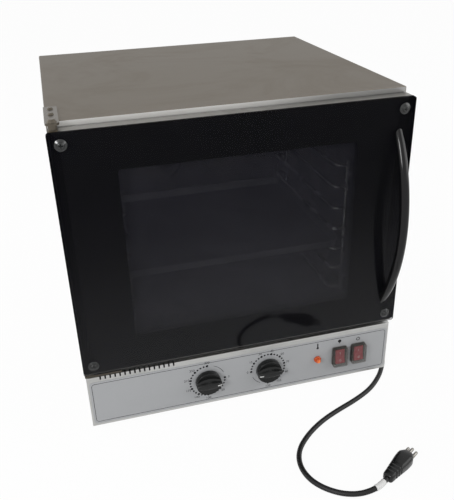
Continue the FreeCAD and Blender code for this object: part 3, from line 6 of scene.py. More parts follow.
import bmesh
import bpy
from bpy.props import FloatProperty, FloatVectorProperty, IntProperty, PointerProperty
from mathutils import Matrix, Vector
from mathutils.bvhtree import BVHTree


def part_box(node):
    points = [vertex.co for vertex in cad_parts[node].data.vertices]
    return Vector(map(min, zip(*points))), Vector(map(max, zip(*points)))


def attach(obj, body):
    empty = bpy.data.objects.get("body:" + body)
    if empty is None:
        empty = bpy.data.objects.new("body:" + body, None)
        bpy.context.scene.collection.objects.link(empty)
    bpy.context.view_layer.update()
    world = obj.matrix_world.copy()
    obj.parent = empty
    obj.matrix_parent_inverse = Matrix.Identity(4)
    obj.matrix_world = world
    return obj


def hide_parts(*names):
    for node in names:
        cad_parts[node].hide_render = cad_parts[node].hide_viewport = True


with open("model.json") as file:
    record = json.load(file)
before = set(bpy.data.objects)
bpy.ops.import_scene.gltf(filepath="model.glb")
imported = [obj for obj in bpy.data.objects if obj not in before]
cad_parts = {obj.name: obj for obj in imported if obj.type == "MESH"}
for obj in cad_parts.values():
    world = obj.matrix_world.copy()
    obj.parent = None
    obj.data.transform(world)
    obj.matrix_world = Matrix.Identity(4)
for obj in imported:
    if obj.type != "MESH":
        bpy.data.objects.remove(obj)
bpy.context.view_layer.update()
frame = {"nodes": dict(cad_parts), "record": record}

bl_info = {
    "name": "Countertop convection oven",
    "version": (1, 0, 0),
    "blender": (4, 5, 0),
    "location": "View3D > Sidebar > Oven",
    "description": "Finishes and fine pieces for a countertop electric convection oven",
    "category": "Object",
}

NODES = frame["nodes"]
MM = 0.001
TINY = 1e-7
SHARP = math.radians(38)
UP = Vector((0, 0, 1))

# A shape drawn as seen from the front, x to the right, y up and z to the viewer, is turned to face -Y.
FRONT = Matrix.Rotation(math.radians(90), 4, "X")

# Area lamps: name, place, size in metres and power in watts. All of them point at LAMP_AIM.
LAMPS = (
    ("key", (-1.8, -2.2, 2.4), 2.2, 8),
    ("low", (-1.9, -1.9, 1.5), 0.8, 30),
    ("fill", (2.6, -1.2, 1.6), 2.2, 32),
    ("side", (-2.6, 1.2, 1.8), 2.2, 14),
)
LAMP_AIM = Vector((0, 0, 0.25))
CAMERA_PLACE = (-0.239142, -1.028214, 0.733067)
CAMERA_TURN = (62.4647, 1.53226, -15.41426)
CAMERA_LENS, CAMERA_SENSOR = 46.887, 36
FLOOR_HALF, FLOOR_CORNER = 20, 1
FLOOR_FOOT, FLOOR_TOP = -0.02, -0.0005
FLOOR_GLOW = 0.96
SURROUNDINGS = 0.45
WHITE = (1, 1, 1, 1)

# Controls on the panel
OVERLAY_LOW, OVERLAY_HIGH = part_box("panel_overlay")
OVERLAY_FRONT = OVERLAY_LOW.y
CONTROL_Z = 0.062
PILOT_X, PILOT_SYMBOL_Z = 0.1245, 0.0876
SWITCH_X = {"left": 0.1636, "right": 0.1972}
SWITCH_SYMBOL_Z = {"left": 0.0890, "right": 0.0880}
SWITCH_MARK_RISE = 0.0066
MARK_FOOT, MARK_TOP = -0.0002, 0.00008
DIAL_SWEEP, DIAL_STEPS = 270.0, 24

KNOB_STEPS = 112
KNOB_REACHES = (0.985, 0.95, 0.9, 0.82, 0.74, 0.66, 0.58, 0.5, 0.42, 0.34, 0.26, 0.18, 0.09)
KNOB_EDGE = 0.0007
SCOOP_DEPTH = 0.0026
POINTER_HALF = 0.0007
POINTER_FROM, POINTER_TO, POINTER_STEPS = 0.60, 0.94, 8
POINTER_FOOT, POINTER_TOP = -0.0002, 0.00012

# Mains lead, in millimetres from the gland to the plug
LEAD_ROUTE = [
    (205, 295, 51), (205, 317, 51), (209, 346, 44), (224, 368, 32), (248, 380, 19), (274, 377, 9.5),
    (294, 360, 4.8), (305, 335, 4.2), (307, 304, 4.2), (303, 268, 4.2), (298, 225, 4.2), (295, 175, 4.2),
    (296, 122, 4.2), (298, 70, 4.2), (298, 18, 4.2), (296, -32, 4.2), (293, -78, 4.2), (288, -118, 4.2),
    (279, -152, 4.2), (268, -178, 4.2), (254, -200, 4.2), (236, -222, 4.2), (208, -246, 4.2),
    (172, -264, 4.2), (135, -278, 4.2), (100, -294, 4.2), (68, -316, 4.2), (43, -342, 4.2),
    (33, -370, 4.2), (36, -398, 4.2), (49, -420, 4.2), (69, -437, 4.2), (90, -446, 5.4), (108, -449, 9),
    (125.8, -445.5, 10.6), (140.2, -436.5, 10.6),
]
LEAD_END = Vector(LEAD_ROUTE[-1]) * MM
SLEEVE_GAP = 0.6
SLEEVE_WALL = 0.0006
SLEEVE_STEPS = 20

# Plug, in millimetres along it from the end of the lead: (place, half width, half height) of its sections
PLUG_TAIL = [(0, 4.4, 4.4), (1.2, 7.0, 6.4), (2.6, 7.8, 7.0), (9, 8.5, 7.6)]
PLUG_HEAD = [(30, 10.7, 9.3), (40, 11.9, 10.0), (49, 12.3, 10.2), (53, 11.9, 10.0), (58.5, 9.0, 8.4), (60, 8.4, 7.8)]
PLUG_ROUNDING = 0.62
# Grip notches between them as (place, half width), and each notch as (step along, change of half width, flatness)
PLUG_NOTCHES = ((10, 8.6), (16, 9.2), (22, 9.9))
NOTCH_STEPS = ((0, 0, 0.89), (0.8, -0.9, 0.86), (2.6, -0.8, 0.86), (3.4, 0.3, 0.89))
# Pins: (radius, place) of the outline, and where they stand on the face of the plug
PIN_OUTLINE = [(0, 55), (2.4, 55), (2.4, 73), (2.0, 74.4), (1.1, 75.2), (0, 75.4)]
PIN_SPOTS = ((-6.5, -1.5), (0, 1.5), (6.5, -1.5))

# Screws: node, body, facing along y, height of the head, radius of the shank and finish
SCREWS = (
    ("glass_screws", "door", -1, 0.0024, 0.0025, "dark_plating"),
    ("rear_panel_screws", "cabinet", 1, 0.002, 0.002, "bright_steel"),
)
# Shares of a head's radius and height over its dome, and those of its cross recess
SCREW_DOME = ((1, 0), (1, 0.3), (0.93, 0.55), (0.74, 0.82), (0.42, 0.97))
CROSS_REACH, CROSS_HALF = 0.62, 0.13
CROSS_FLOOR, CROSS_TOP = 0.35, 1.2


class Dial(NamedTuple):
    """Where a dial is and what is printed round it, angles in degrees."""

    x: float
    first: float        # angle of the lowest number
    numbers: dict       # what stands at which of the dots
    stroke: tuple       # from and to of the arc beside the dots
    pointer: int        # end of the grip ridge that points, 1 at the right and -1 at the left

    def spot(self, radius, dot):
        """Where a dot or its number stands on the panel, as x and z."""
        angle = math.radians(self.first - DIAL_SWEEP * dot / DIAL_STEPS)
        return self.x + radius * math.cos(angle), CONTROL_Z + radius * math.sin(angle)


DIALS = {
    "thermostat": Dial(-0.0647, 0.0, {0: 0, 4: 50, 8: 100, 11: 140, 14: 175, 17: 210, 20: 250, 24: 300}, (22, 68), 1),
    "timer": Dial(0.0374, 180.0, {dot: 5 * dot for dot in range(0, DIAL_STEPS + 1, 3)}, (-156, -118), -1),
}


def length(label, text, default):
    """A length property in metres."""
    return FloatProperty(name=label, description=text, default=default, min=0.0, precision=5,
                         subtype="DISTANCE", unit="LENGTH")


def colour(label, text, default):
    """A linear colour property."""
    return FloatVectorProperty(name=label, description=text, default=default, size=3, min=0.0, max=1.0,
                               subtype="COLOR")


class OvenSizes(bpy.types.PropertyGroup):
    """Sizes of the fine pieces."""

    lead_diameter: length("Lead diameter", "Outside of the mains lead", 0.008)
    sleeve_length: length("Lead sleeve length", "Plain white sleeve on the lead, behind the plug", 0.021)
    knob_radius: length("Knob radius", "Outside of the dial knobs", 0.0206)
    knob_skirt: length("Knob skirt", "Height of the knob below its scoops", 0.0102)
    knob_height: length("Knob height", "Height of the knob at the ridge", 0.0178)
    knob_gap: length("Knob gap", "Space between the knob and the panel", 0.0008)
    ridge_half: length("Ridge half width", "Half of the knob's grip ridge at its middle", 0.0082)
    dot_radius: length("Dial dot", "Radius of the small dots round a dial", 0.0016)
    mark_radius: length("Dial mark", "Radius of the dots that carry a number", 0.0021)
    dial_radius: length("Dial circle", "Radius of the circle of dots", 0.0287)
    number_radius: length("Number circle", "Radius of the circle of numbers", 0.0350)
    number_height: length("Number height", "Height of the numbers round a dial", 0.0042)
    stroke_width: length("Stroke width", "Width of the arcs beside the dots", 0.0007)
    ink_thickness: length("Ink thickness", "How far print stands off the film", 0.00006)
    symbol_scale: FloatProperty(name="Symbol scale", description="Size of the panel symbols", default=1.6, min=0.1)
    border_inset: length("Border inset", "From the edge of the film to its border line", 0.0032)
    border_width: length("Border width", "Width of the border line", 0.0007)
    border_corner: length("Border corner", "Radius of the corners of the border line", 0.005)
    screw_steps: IntProperty(name="Screw steps", description="Facets round a screw head", default=28, min=8)


class OvenColours(bpy.types.PropertyGroup):
    """Colours of the finishes."""

    cabinet: colour("Cabinet steel", "Dull stainless sheet of the cabinet", (0.232, 0.208, 0.178))
    # Pale tint that stands for the steel of the front frame together with a painted highlight along its edge.
    lip: colour("Front lip steel", "Bright front face of the cabinet", (0.87, 0.86, 0.84))
    door_steel: colour("Door steel", "Satin sheet of the door frame", (0.21, 0.205, 0.19))
    fastener: colour("Glass fasteners", "Dark plated screws and cup washers of the glass", (0.055, 0.056, 0.056))
    panel: colour("Panel steel", "Stainless sheet of the control panel", (0.46, 0.46, 0.45))
    film: colour("Panel film", "Grey printed film on the panel", (0.366, 0.373, 0.383))
    glass: colour("Smoked glass", "Outer pane of the door", (0.003, 0.003, 0.005))
    ink: colour("Black ink", "Fired border of the door glass and the dial print", (0.003, 0.003, 0.0035))
    handle: colour("Handle", "Black handle tube", (0.004, 0.004, 0.0045))
    knob: colour("Knobs", "Moulded black of the knobs and the plug", (0.006, 0.0065, 0.0065))
    rocker: colour("Rockers", "Red of the switch rockers", (0.46, 0.060, 0.085))
    cover: colour("Switch covers", "Clear soft covers over the switches", (0.085, 0.080, 0.070))
    amber: colour("Pilot lamp", "Amber lens of the pilot lamp", (0.46, 0.060, 0.004))
    lead: colour("Lead", "Rubber of the mains lead", (0.007, 0.007, 0.007))
    white: colour("White", "Pointer marks and the lead sleeve", (0.75, 0.75, 0.74))
    floor: colour("Floor", "Plain floor", (0.9, 0.9, 0.9))


def sizes():
    return bpy.context.scene.oven_sizes


def colours():
    return bpy.context.scene.oven_colours


# Nodes

FLOAT, VECTOR, GEOMETRY = "NodeSocketFloat", "NodeSocketVector", "NodeSocketGeometry"


def feed(tree, value, socket):
    """Links another socket to this one, or sets it to a plain value."""
    if isinstance(value, bpy.types.NodeSocket):
        tree.links.new(value, socket)
    else:
        socket.default_value = value


def give(tree, node, **values):
    """Links or sets the inputs of a node, with an underscore for each space of a name."""
    for key, value in values.items():
        feed(tree, value, node.inputs[key.replace("_", " ")])


def add(tree, kind, **values):
    """A new node: names in lower case set its attributes, and the others its inputs."""
    node = tree.nodes.new(kind)
    for key, value in values.items():
        if key[0].islower():
            setattr(node, key, value)
        else:
            give(tree, node, **{key: value})
    return node


def operate(tree, kind, *terms, **settings):
    """The first output of a node whose inputs are given in order."""
    node = add(tree, kind, **settings)
    for term, socket in zip(terms, node.inputs):
        feed(tree, term, socket)
    return node.outputs[0]


def maths(tree, operation, *terms, **settings):
    """The result of an operation on sockets and plain numbers."""
    return operate(tree, "ShaderNodeMath", *terms, operation=operation, **settings)


def node_group(kind, name, inputs, outputs):
    """Turns a function that fills a node tree into one that makes the tree once and then hands it out."""
    def made_once(fill):
        @wraps(fill)
        def tree_of():
            if name in bpy.data.node_groups:
                return bpy.data.node_groups[name]
            tree = bpy.data.node_groups.new(name, kind)
            for label, socket_type, *default in inputs:
                socket = tree.interface.new_socket(label, in_out="INPUT", socket_type=socket_type)
                if default:
                    socket.default_value = default[0]
            for label, socket_type in outputs:
                tree.interface.new_socket(label, in_out="OUTPUT", socket_type=socket_type)
            start = tree.nodes.new("NodeGroupInput").outputs
            fill(tree, start, tree.nodes.new("NodeGroupOutput"))
            return tree
        return tree_of
    return made_once


def place(tree):
    """Where a point lies in its own piece."""
    return add(tree, "ShaderNodeTexCoord").outputs["Object"]


# Shader groups

def emboss(tree, start, end, noise):
    """Sends a noise out of its group as a shade and as a bump."""
    bump = add(tree, "ShaderNodeBump", Distance=0.0002, Height=noise, Strength=start["Relief"])
    give(tree, end, Shade=noise, Normal=bump.outputs["Normal"])


@node_group("ShaderNodeTree", "brushed_grain", [("Stretch", VECTOR, (4, 400, 400)), ("Relief", FLOAT, 0.1)],
            [("Shade", FLOAT), ("Normal", VECTOR)])
def grain_group(tree, start, end):
    """Fine lines along one direction, as on brushed sheet."""
    scaled = add(tree, "ShaderNodeMapping", Vector=place(tree), Scale=start["Stretch"])
    lines = add(tree, "ShaderNodeTexNoise", Vector=scaled.outputs["Vector"], Scale=1.0, Detail=3.0, Roughness=0.6)
    emboss(tree, start, end, lines.outputs["Fac"])


@node_group("ShaderNodeTree", "moulded_skin", [("Scale", FLOAT, 900.0), ("Relief", FLOAT, 0.08)],
            [("Shade", FLOAT), ("Normal", VECTOR)])
def speckle_group(tree, start, end):
    """Small even relief of a moulded or cast skin."""
    grit = add(tree, "ShaderNodeTexNoise", Vector=place(tree), Scale=start["Scale"], Detail=2.0, Roughness=0.5)
    emboss(tree, start, end, grit.outputs["Fac"])


@node_group("ShaderNodeTree", "handling_marks",
            [("Scale", FLOAT, 8.0), ("Low", FLOAT, 0.42), ("High", FLOAT, 0.72)], [("Mask", FLOAT)])
def marks_group(tree, start, end):
    """Patches where a surface was wiped, touched or heated."""
    wide = add(tree, "ShaderNodeTexNoise", Vector=place(tree), Scale=start["Scale"], Detail=5.0, Roughness=0.62,
               Distortion=0.8)
    level = add(tree, "ShaderNodeMapRange", interpolation_type="SMOOTHSTEP", Value=wide.outputs["Fac"],
                From_Min=start["Low"], From_Max=start["High"])
    give(tree, end, Mask=level.outputs["Result"])


@node_group("ShaderNodeTree", "settled_dust", [("Scale", FLOAT, 30.0), ("Amount", FLOAT, 0.2)], [("Mask", FLOAT)])
def dust_group(tree, start, end):
    """Dust that settles on faces that look up."""
    facing = add(tree, "ShaderNodeNewGeometry").outputs["Normal"]
    upward = add(tree, "ShaderNodeSeparateXYZ", Vector=facing).outputs["Z"]
    specks = add(tree, "ShaderNodeTexNoise", Vector=place(tree), Scale=start["Scale"], Detail=6.0, Roughness=0.7)
    settled = maths(tree, "MULTIPLY", upward, specks.outputs["Fac"], use_clamp=True)
    give(tree, end, Mask=maths(tree, "MULTIPLY", settled, start["Amount"], use_clamp=True))


def use_group(tree, group, **values):
    """A shader group in a material with its own values."""
    return add(tree, "ShaderNodeGroup", node_tree=group, **values)


def blend_colour(tree, mask, low, high):
    """Two colours, linked or plain, mixed by a mask."""
    mix = add(tree, "ShaderNodeMix", data_type="RGBA", Factor=mask)
    for label, tint in (("A", low), ("B", high)):
        socket = [s for s in mix.inputs if s.name == label and s.type == "RGBA"][0]
        feed(tree, tint if isinstance(tint, bpy.types.NodeSocket) else (*tint[:3], 1.0), socket)
    return [s for s in mix.outputs if s.type == "RGBA"][0]


def blend_value(tree, mask, low, high):
    """A mask mapped from 0..1 to low..high."""
    return add(tree, "ShaderNodeMapRange", Value=mask, To_Min=low, To_Max=high).outputs["Result"]


def axis_value(tree, axis):
    """How far along one axis of its piece a point lies."""
    return add(tree, "ShaderNodeSeparateXYZ", Vector=place(tree)).outputs[axis]


def ramp(tree, axis, start, end, low=0.0, high=1.0):
    """A smooth change from low to high along one axis of a piece."""
    return add(tree, "ShaderNodeMapRange", interpolation_type="SMOOTHSTEP", Value=axis_value(tree, axis),
               From_Min=start, From_Max=end, To_Min=low, To_Max=high).outputs["Result"]


def shade(tint, factor):
    """A colour made darker or lighter."""
    return tuple(min(1.0, channel * factor) for channel in tint[:3])


# Finishes

DUST = (0.42, 0.40, 0.37)
METAL_RELIEF = 0.06
ALONG_X, ALONG_Y, EVEN = (5, 420, 420), (420, 5, 420), (160, 160, 160)
# Centre colour of the pilot lens: the glow of the lit lamp with a painted highlight.
PILOT_GLOW_AND_HIGHLIGHT = (1.0, 0.36, 0.06)


def blank_material(name):
    """A material that holds one Principled shader."""
    made = bpy.data.materials.new(name)
    made.use_nodes = True
    return made, made.node_tree, made.node_tree.nodes["Principled BSDF"]


def metal(name, tint, roughness, stretch=EVEN, contrast=0.16, marks=0.75, mark_scale=9.0, dust=0.15, metallic=1.0,
          edge=1.0, dulled=None):
    """Sheet or drawn metal: grain, wiped patches, a little dust and, where given, a painted highlight that fades to a
    darker side.
    """
    made, tree, shader = blank_material(name)
    grain = use_group(tree, grain_group(), Stretch=stretch, Relief=METAL_RELIEF).outputs
    patch = use_group(tree, marks_group(), Scale=mark_scale, Low=0.40, High=0.70).outputs["Mask"]
    settled = use_group(tree, dust_group(), Amount=dust).outputs["Mask"]
    base = blend_colour(tree, grain["Shade"], shade(tint, 1 - contrast), shade(tint, 1 + contrast))
    base = blend_colour(tree, patch, base, shade(tint, marks))
    # Painted highlight fall-off: the colour darkens along +x between the two given places.
    if dulled:
        start, end, factor = dulled
        base = blend_colour(tree, ramp(tree, "X", start, end), base, shade(tint, factor))
    give(tree, shader, Base_Color=blend_colour(tree, settled, base, DUST), Normal=grain["Normal"], Metallic=metallic,
         Roughness=blend_value(tree, patch, roughness, min(1.0, roughness * 1.35)),
         Specular_Tint=(edge, edge, edge, 1.0))
    return made


def moulded(name, tint, roughness, scale=900.0, relief=0.08, contrast=0.25, dust=0.06, specular=0.5):
    """Plastic, rubber, ceramic or ink: a fine even skin, a little uneven in gloss."""
    made, tree, shader = blank_material(name)
    skin_grain = use_group(tree, speckle_group(), Scale=scale, Relief=relief).outputs
    patch = use_group(tree, marks_group(), Scale=24.0).outputs["Mask"]
    settled = use_group(tree, dust_group(), Scale=60.0, Amount=dust).outputs["Mask"]
    base = blend_colour(tree, skin_grain["Shade"], shade(tint, 1 - contrast), shade(tint, 1 + contrast))
    give(tree, shader, Base_Color=blend_colour(tree, settled, base, DUST), Normal=skin_grain["Normal"],
         Roughness=blend_value(tree, patch, roughness, min(1.0, roughness * 1.3)), Specular_IOR_Level=specular)
    return made


def pane(name, tint, roughness, alpha, specular, haze=0.06, foot=None, rim=None):
    """A clear or smoked sheet, faintly smeared, with a glossier foot and opaque side edges where given."""
    made, tree, shader = blank_material(name)
    smear = use_group(tree, marks_group(), Scale=7.0, Low=0.35, High=0.8).outputs["Mask"]
    opacity = blend_value(tree, smear, alpha, min(1.0, alpha * 1.06))
    if rim:
        aside = maths(tree, "ABSOLUTE", axis_value(tree, "X"))
        opacity = maths(tree, "MAXIMUM", maths(tree, "GREATER_THAN", aside, rim), opacity)
    give(tree, shader, Base_Color=blend_colour(tree, smear, tint, shade(tint, 1.5)), Alpha=opacity,
         Roughness=blend_value(tree, smear, roughness, roughness + haze), Specular_IOR_Level=specular)
    if foot:
        start, end, weight = foot
        give(tree, shader, Coat_Weight=ramp(tree, "Z", start, end, weight, 0.0), Coat_Roughness=roughness)
    return made


def lamp_lens(name, tint, roughness, reach, strength):
    """A lit lens whose glow is brighter round its axis, the bright centre being a painted highlight."""
    made, tree, shader = blank_material(name)
    patch = use_group(tree, speckle_group(), Scale=260.0, Relief=0.05).outputs["Shade"]
    centred = add(tree, "ShaderNodeMapping", Vector=place(tree), Location=(-PILOT_X, 0, -CONTROL_Z))
    flat = operate(tree, "ShaderNodeVectorMath", centred.outputs["Vector"], (1, 0, 1), operation="MULTIPLY")
    aside = add(tree, "ShaderNodeVectorMath", operation="LENGTH", Vector=flat).outputs["Value"]
    # Mask of the painted centre highlight, strongest on the lens axis.
    bright = add(tree, "ShaderNodeMapRange", interpolation_type="SMOOTHSTEP", Value=aside, From_Min=reach[0],
                 From_Max=reach[1]).outputs["Result"]
    give(tree, shader, Base_Color=blend_colour(tree, patch, shade(tint, 0.8), shade(tint, 1.2)), Roughness=roughness,
         Emission_Color=blend_colour(tree, bright, shade(tint, 0.35), PILOT_GLOW_AND_HIGHLIGHT), Emission_Strength=strength)
    return made


# Slot: maker, colour or the name of its property, roughness and details
FINISH_TABLE = {
    "stainless": (metal, "cabinet", 0.38, dict(stretch=ALONG_X, marks=0.9, contrast=0.06, dust=0.03, mark_scale=5.0,
                                               edge=0.55)),
    # Front frame finish: its pale tint and its darkening toward +x are a painted highlight that fades to the right.
    "front_lip": (metal, "lip", 0.30, dict(stretch=ALONG_X, marks=0.95, contrast=0.04, dust=0.0, metallic=0.8,
                                           dulled=(-0.05, 0.2, 0.42))),
    "door_sheet": (metal, "door_steel", 0.36, dict(stretch=ALONG_X, marks=0.85, contrast=0.08, dust=0.02)),
    "dark_plating": (metal, "fastener", 0.17, dict(marks=0.8, contrast=0.1, dust=0.0)),
    "panel_steel": (metal, "panel", 0.36, dict(stretch=ALONG_X, marks=0.9, contrast=0.08, dust=0.05)),
    "galvanised": (metal, (0.36, 0.37, 0.38), 0.45, dict(marks=0.9, mark_scale=40.0)),
    "chamber_steel": (metal, (0.40, 0.39, 0.38), 0.38, dict(stretch=ALONG_X, dust=0.05)),
    "overlay_film": (moulded, "film", 0.42, dict(scale=500.0, relief=0.03, contrast=0.03, dust=0.0)),
    "bright_steel": (metal, (0.50, 0.50, 0.50), 0.2, dict(contrast=0.06, marks=0.85, dust=0.05)),
    "hinge_steel": (metal, (0.105, 0.092, 0.074), 0.33, dict(stretch=ALONG_Y, marks=0.7, dust=0.03)),
    "bush_brass": (metal, (0.20, 0.165, 0.11), 0.4, {}),
    "rack_wire": (metal, (0.55, 0.55, 0.55), 0.25, dict(contrast=0.08)),
    "tray_metal": (metal, (0.27, 0.27, 0.28), 0.42, dict(stretch=ALONG_X)),
    "fan_metal": (metal, (0.40, 0.40, 0.41), 0.40, {}),
    "heater_sheath": (metal, (0.05, 0.045, 0.04), 0.6, dict(marks=1.5, metallic=0.6)),
    "motor_metal": (metal, (0.06, 0.06, 0.065), 0.5, dict(stretch=(30, 900, 30), metallic=0.7)),
    "wool": (moulded, (0.56, 0.50, 0.34), 0.95, dict(scale=300.0, relief=0.6, contrast=0.3, dust=0.0)),
    "tinted_glass": (pane, "glass", 0.03, dict(alpha=0.38, specular=0.035, haze=0.03, foot=(0.10, 0.42, 0.72),
                                               rim=0.2546)),
    "clear_glass": (pane, (0.16, 0.16, 0.20), 0.06, dict(alpha=0.22, specular=0.2)),
    "black_ink": (moulded, "ink", 0.5, dict(scale=700.0, relief=0.02, dust=0.0, specular=0.2)),
    "handle_black": (moulded, "handle", 0.08, dict(scale=600.0, relief=0.01, dust=0.0, specular=0.26)),
    "knob_black": (moulded, "knob", 0.24, dict(scale=1100.0, relief=0.03, dust=0.0, specular=0.3)),
    "black_plastic": (moulded, (0.018, 0.018, 0.018), 0.45, dict(relief=0.1)),
    "red_plastic": (moulded, "rocker", 0.3, dict(relief=0.03, contrast=0.08, dust=0.0)),
    "clear_silicone": (pane, "cover", 0.2, dict(alpha=0.25, specular=0.3, haze=0.1)),
    "amber_lens": (lamp_lens, "amber", 0.14, dict(reach=(0.0045, 0.0005), strength=0.38)),
    "pale_insulator": (moulded, (0.60, 0.57, 0.48), 0.55, {}),
    "ceramic_socket": (moulded, (0.68, 0.66, 0.60), 0.25, dict(relief=0.02, contrast=0.06)),
    "gasket_rubber": (moulded, (0.022, 0.022, 0.022), 0.8, dict(scale=700.0, relief=0.2)),
    "foot_rubber": (moulded, (0.016, 0.016, 0.016), 0.75, dict(scale=700.0, relief=0.2)),
    "magnet": (moulded, (0.03, 0.03, 0.03), 0.5, {}),
    "cord_rubber": (moulded, "lead", 0.42, dict(scale=500.0, contrast=0.2, dust=0.0, specular=0.3)),
    "pin_brass": (metal, (0.27, 0.26, 0.24), 0.3, dict(contrast=0.08)),
    "white_print": (moulded, "white", 0.5, dict(relief=0.03, contrast=0.05, dust=0.0)),
}
FINISHES = {}


def finish(slot):
    """The material of a slot, made when it is first asked for."""
    if slot not in FINISHES:
        maker, tint, roughness, details = FINISH_TABLE[slot]
        tint = getattr(colours(), tint) if isinstance(tint, str) else tint
        FINISHES[slot] = maker(slot, tint, roughness, **details)
    return FINISHES[slot]


# Meshes

def put(name, data):
    """A new object in the scene, at the origin."""
    obj = bpy.data.objects.new(name, data)
    bpy.context.scene.collection.objects.link(obj)
    return obj


def plain_mesh(obj):
    """A mesh of an object as its modifiers or its curve make it."""
    bpy.context.view_layer.update()
    return bpy.data.meshes.new_from_object(obj.evaluated_get(bpy.context.evaluated_depsgraph_get()))


def done_mesh(name, bm, outward=False):
    """An object from a bmesh, smooth but for its sharp edges, its faces turned outward where asked."""
    if outward:
        bmesh.ops.recalc_face_normals(bm, faces=bm.faces)
    for face in bm.faces:
        face.smooth = True
    for edge in bm.edges:
        edge.smooth = edge.calc_face_angle(0.0) < SHARP
    mesh = bpy.data.meshes.new(name)
    bm.to_mesh(mesh)
    bm.free()
    return put(name, mesh)


def dress(obj, body, slot, material=None, replaced=()):
    """Gives a finished piece its material, that of its slot unless another is named, and its body."""
    obj.data.materials.clear()
    obj.data.materials.append(finish(material or slot))
    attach(obj, body)
    if replaced:
        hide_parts(*replaced)
    return obj


def circle(steps):
    """Angles of points spread evenly round a circle."""
    return [2 * math.pi * k / steps for k in range(steps)]


def ring(bm, turn, spots):
    """New points of a mesh at local places."""
    return [bm.verts.new(turn @ Vector(spot)) for spot in spots]


def skin(bm, rings, closed=False):
    """Faces between neighbouring rings, which have as many points or are one point each."""
    for first, second in zip(rings, rings[1:] + rings[:1] if closed else rings[1:]):
        count = max(len(first), len(second))
        for k in range(count):
            after = (k + 1) % count
            corners = dict.fromkeys((first[k % len(first)], first[after % len(first)],
                                     second[after % len(second)], second[k % len(second)]))
            bm.faces.new(list(corners))


def lathe(bm, profile, steps, turn):
    """Turns (radius, height) points about local z into a closed skin."""
    rings = []
    for radius, height in profile:
        angles = circle(steps) if radius > TINY else [0.0]
        rings.append(ring(bm, turn, [(radius * math.cos(a), radius * math.sin(a), height) for a in angles]))
    skin(bm, rings)


def prism(bm, points, low, high, turn):
    """A flat outline, counter-clockwise from the front, given a thickness along local z."""
    bottom, top = [ring(bm, turn, [(x, y, level) for x, y in points]) for level in (low, high)]
    bm.faces.new(top)
    bm.faces.new(bottom[::-1])
    skin(bm, [bottom, top])


def band(bm, outer, inner, low, high, turn):
    """The strip between two outlines of as many points, with a thickness."""
    edges = ((outer, low), (outer, high), (inner, high), (inner, low))
    skin(bm, [ring(bm, turn, [(x, y, level) for x, y in points]) for points, level in edges], closed=True)


def arc(centre, radius, start, end, steps):
    """Points on an arc, angles in degrees."""
    angles = [math.radians(start + (end - start) * k / steps) for k in range(steps + 1)]
    return [(centre[0] + radius * math.cos(a), centre[1] + radius * math.sin(a)) for a in angles]


def arc_strip(outer, inner, start, end, steps):
    """The outline of a bent strip about the origin."""
    return arc((0, 0), outer, start, end, steps) + arc((0, 0), inner, start, end, steps)[::-1]


def rounded(half_x, half_y, radius, centre=(0, 0), steps=8):
    """A rectangle with round corners, counter-clockwise."""
    points = []
    for turn, (sx, sy) in zip((0, 90, 180, 270), ((1, 1), (-1, 1), (-1, -1), (1, -1))):
        corner = (centre[0] + sx * (half_x - radius), centre[1] + sy * (half_y - radius))
        points += arc(corner, radius, turn, turn + 90, steps)
    return points


def capsule(half_length, radius, centre=(0, 0), steps=8):
    """An upright bar with round ends."""
    return (arc((centre[0], centre[1] + half_length), radius, 0, 180, steps)
            + arc((centre[0], centre[1] - half_length), radius, 180, 360, steps))


def at_front(x, z, y=OVERLAY_FRONT):
    """Sets a shape that is drawn from the front on the panel."""
    return Matrix.Translation((x, y, z)) @ FRONT


def surface_of(node):
    """A tree for casting rays on a CAD node."""
    mesh = NODES[node].data
    return BVHTree.FromPolygons([v.co[:] for v in mesh.vertices], [p.vertices[:] for p in mesh.polygons])


def letters(bm, text, height, thickness, turn):
    """Digits as thin mesh, centred on local x and y."""
    curve = bpy.data.curves.new("digits", "FONT")
    curve.body = text
    curve.size = height / 0.7
    curve.align_x = "CENTER"
    curve.align_y = "CENTER"
    curve.extrude = thickness / 2
    curve.resolution_u = 3
    holder = put("digits", curve)
    mesh = plain_mesh(holder)
    mesh.transform(turn @ Matrix.Translation((0, 0, thickness / 2)))
    bm.from_mesh(mesh)
    bpy.data.objects.remove(holder)
    bpy.data.curves.remove(curve)
    bpy.data.meshes.remove(mesh)


# Geometry nodes

@node_group("GeometryNodeTree", "shape_on_points",
            [("Points", GEOMETRY), ("Shape", "NodeSocketObject"), ("Material", "NodeSocketMaterial"),
             ("Size", FLOAT, 1.0)], [("Geometry", GEOMETRY)])
def scatter_tree(tree, start, end):
    """Stands a copy of one shape on every point, sized and turned by the points' own attributes."""
    shape = add(tree, "GeometryNodeObjectInfo", transform_space="ORIGINAL", Object=start["Shape"])
    turn = add(tree, "GeometryNodeInputNamedAttribute", data_type="FLOAT_VECTOR", Name="turn")
    scale = add(tree, "GeometryNodeInputNamedAttribute", data_type="FLOAT", Name="scale")
    rotation = add(tree, "FunctionNodeEulerToRotation", Euler=turn.outputs["Attribute"])
    stand = add(tree, "GeometryNodeInstanceOnPoints", Points=start["Points"], Instance=shape.outputs["Geometry"],
                Rotation=rotation.outputs["Rotation"],
                Scale=maths(tree, "MULTIPLY", scale.outputs["Attribute"], start["Size"]))
    real = add(tree, "GeometryNodeRealizeInstances", Geometry=stand.outputs["Instances"])
    painted = add(tree, "GeometryNodeSetMaterial", Geometry=real.outputs["Geometry"], Material=start["Material"])
    give(tree, end, Geometry=painted.outputs["Geometry"])


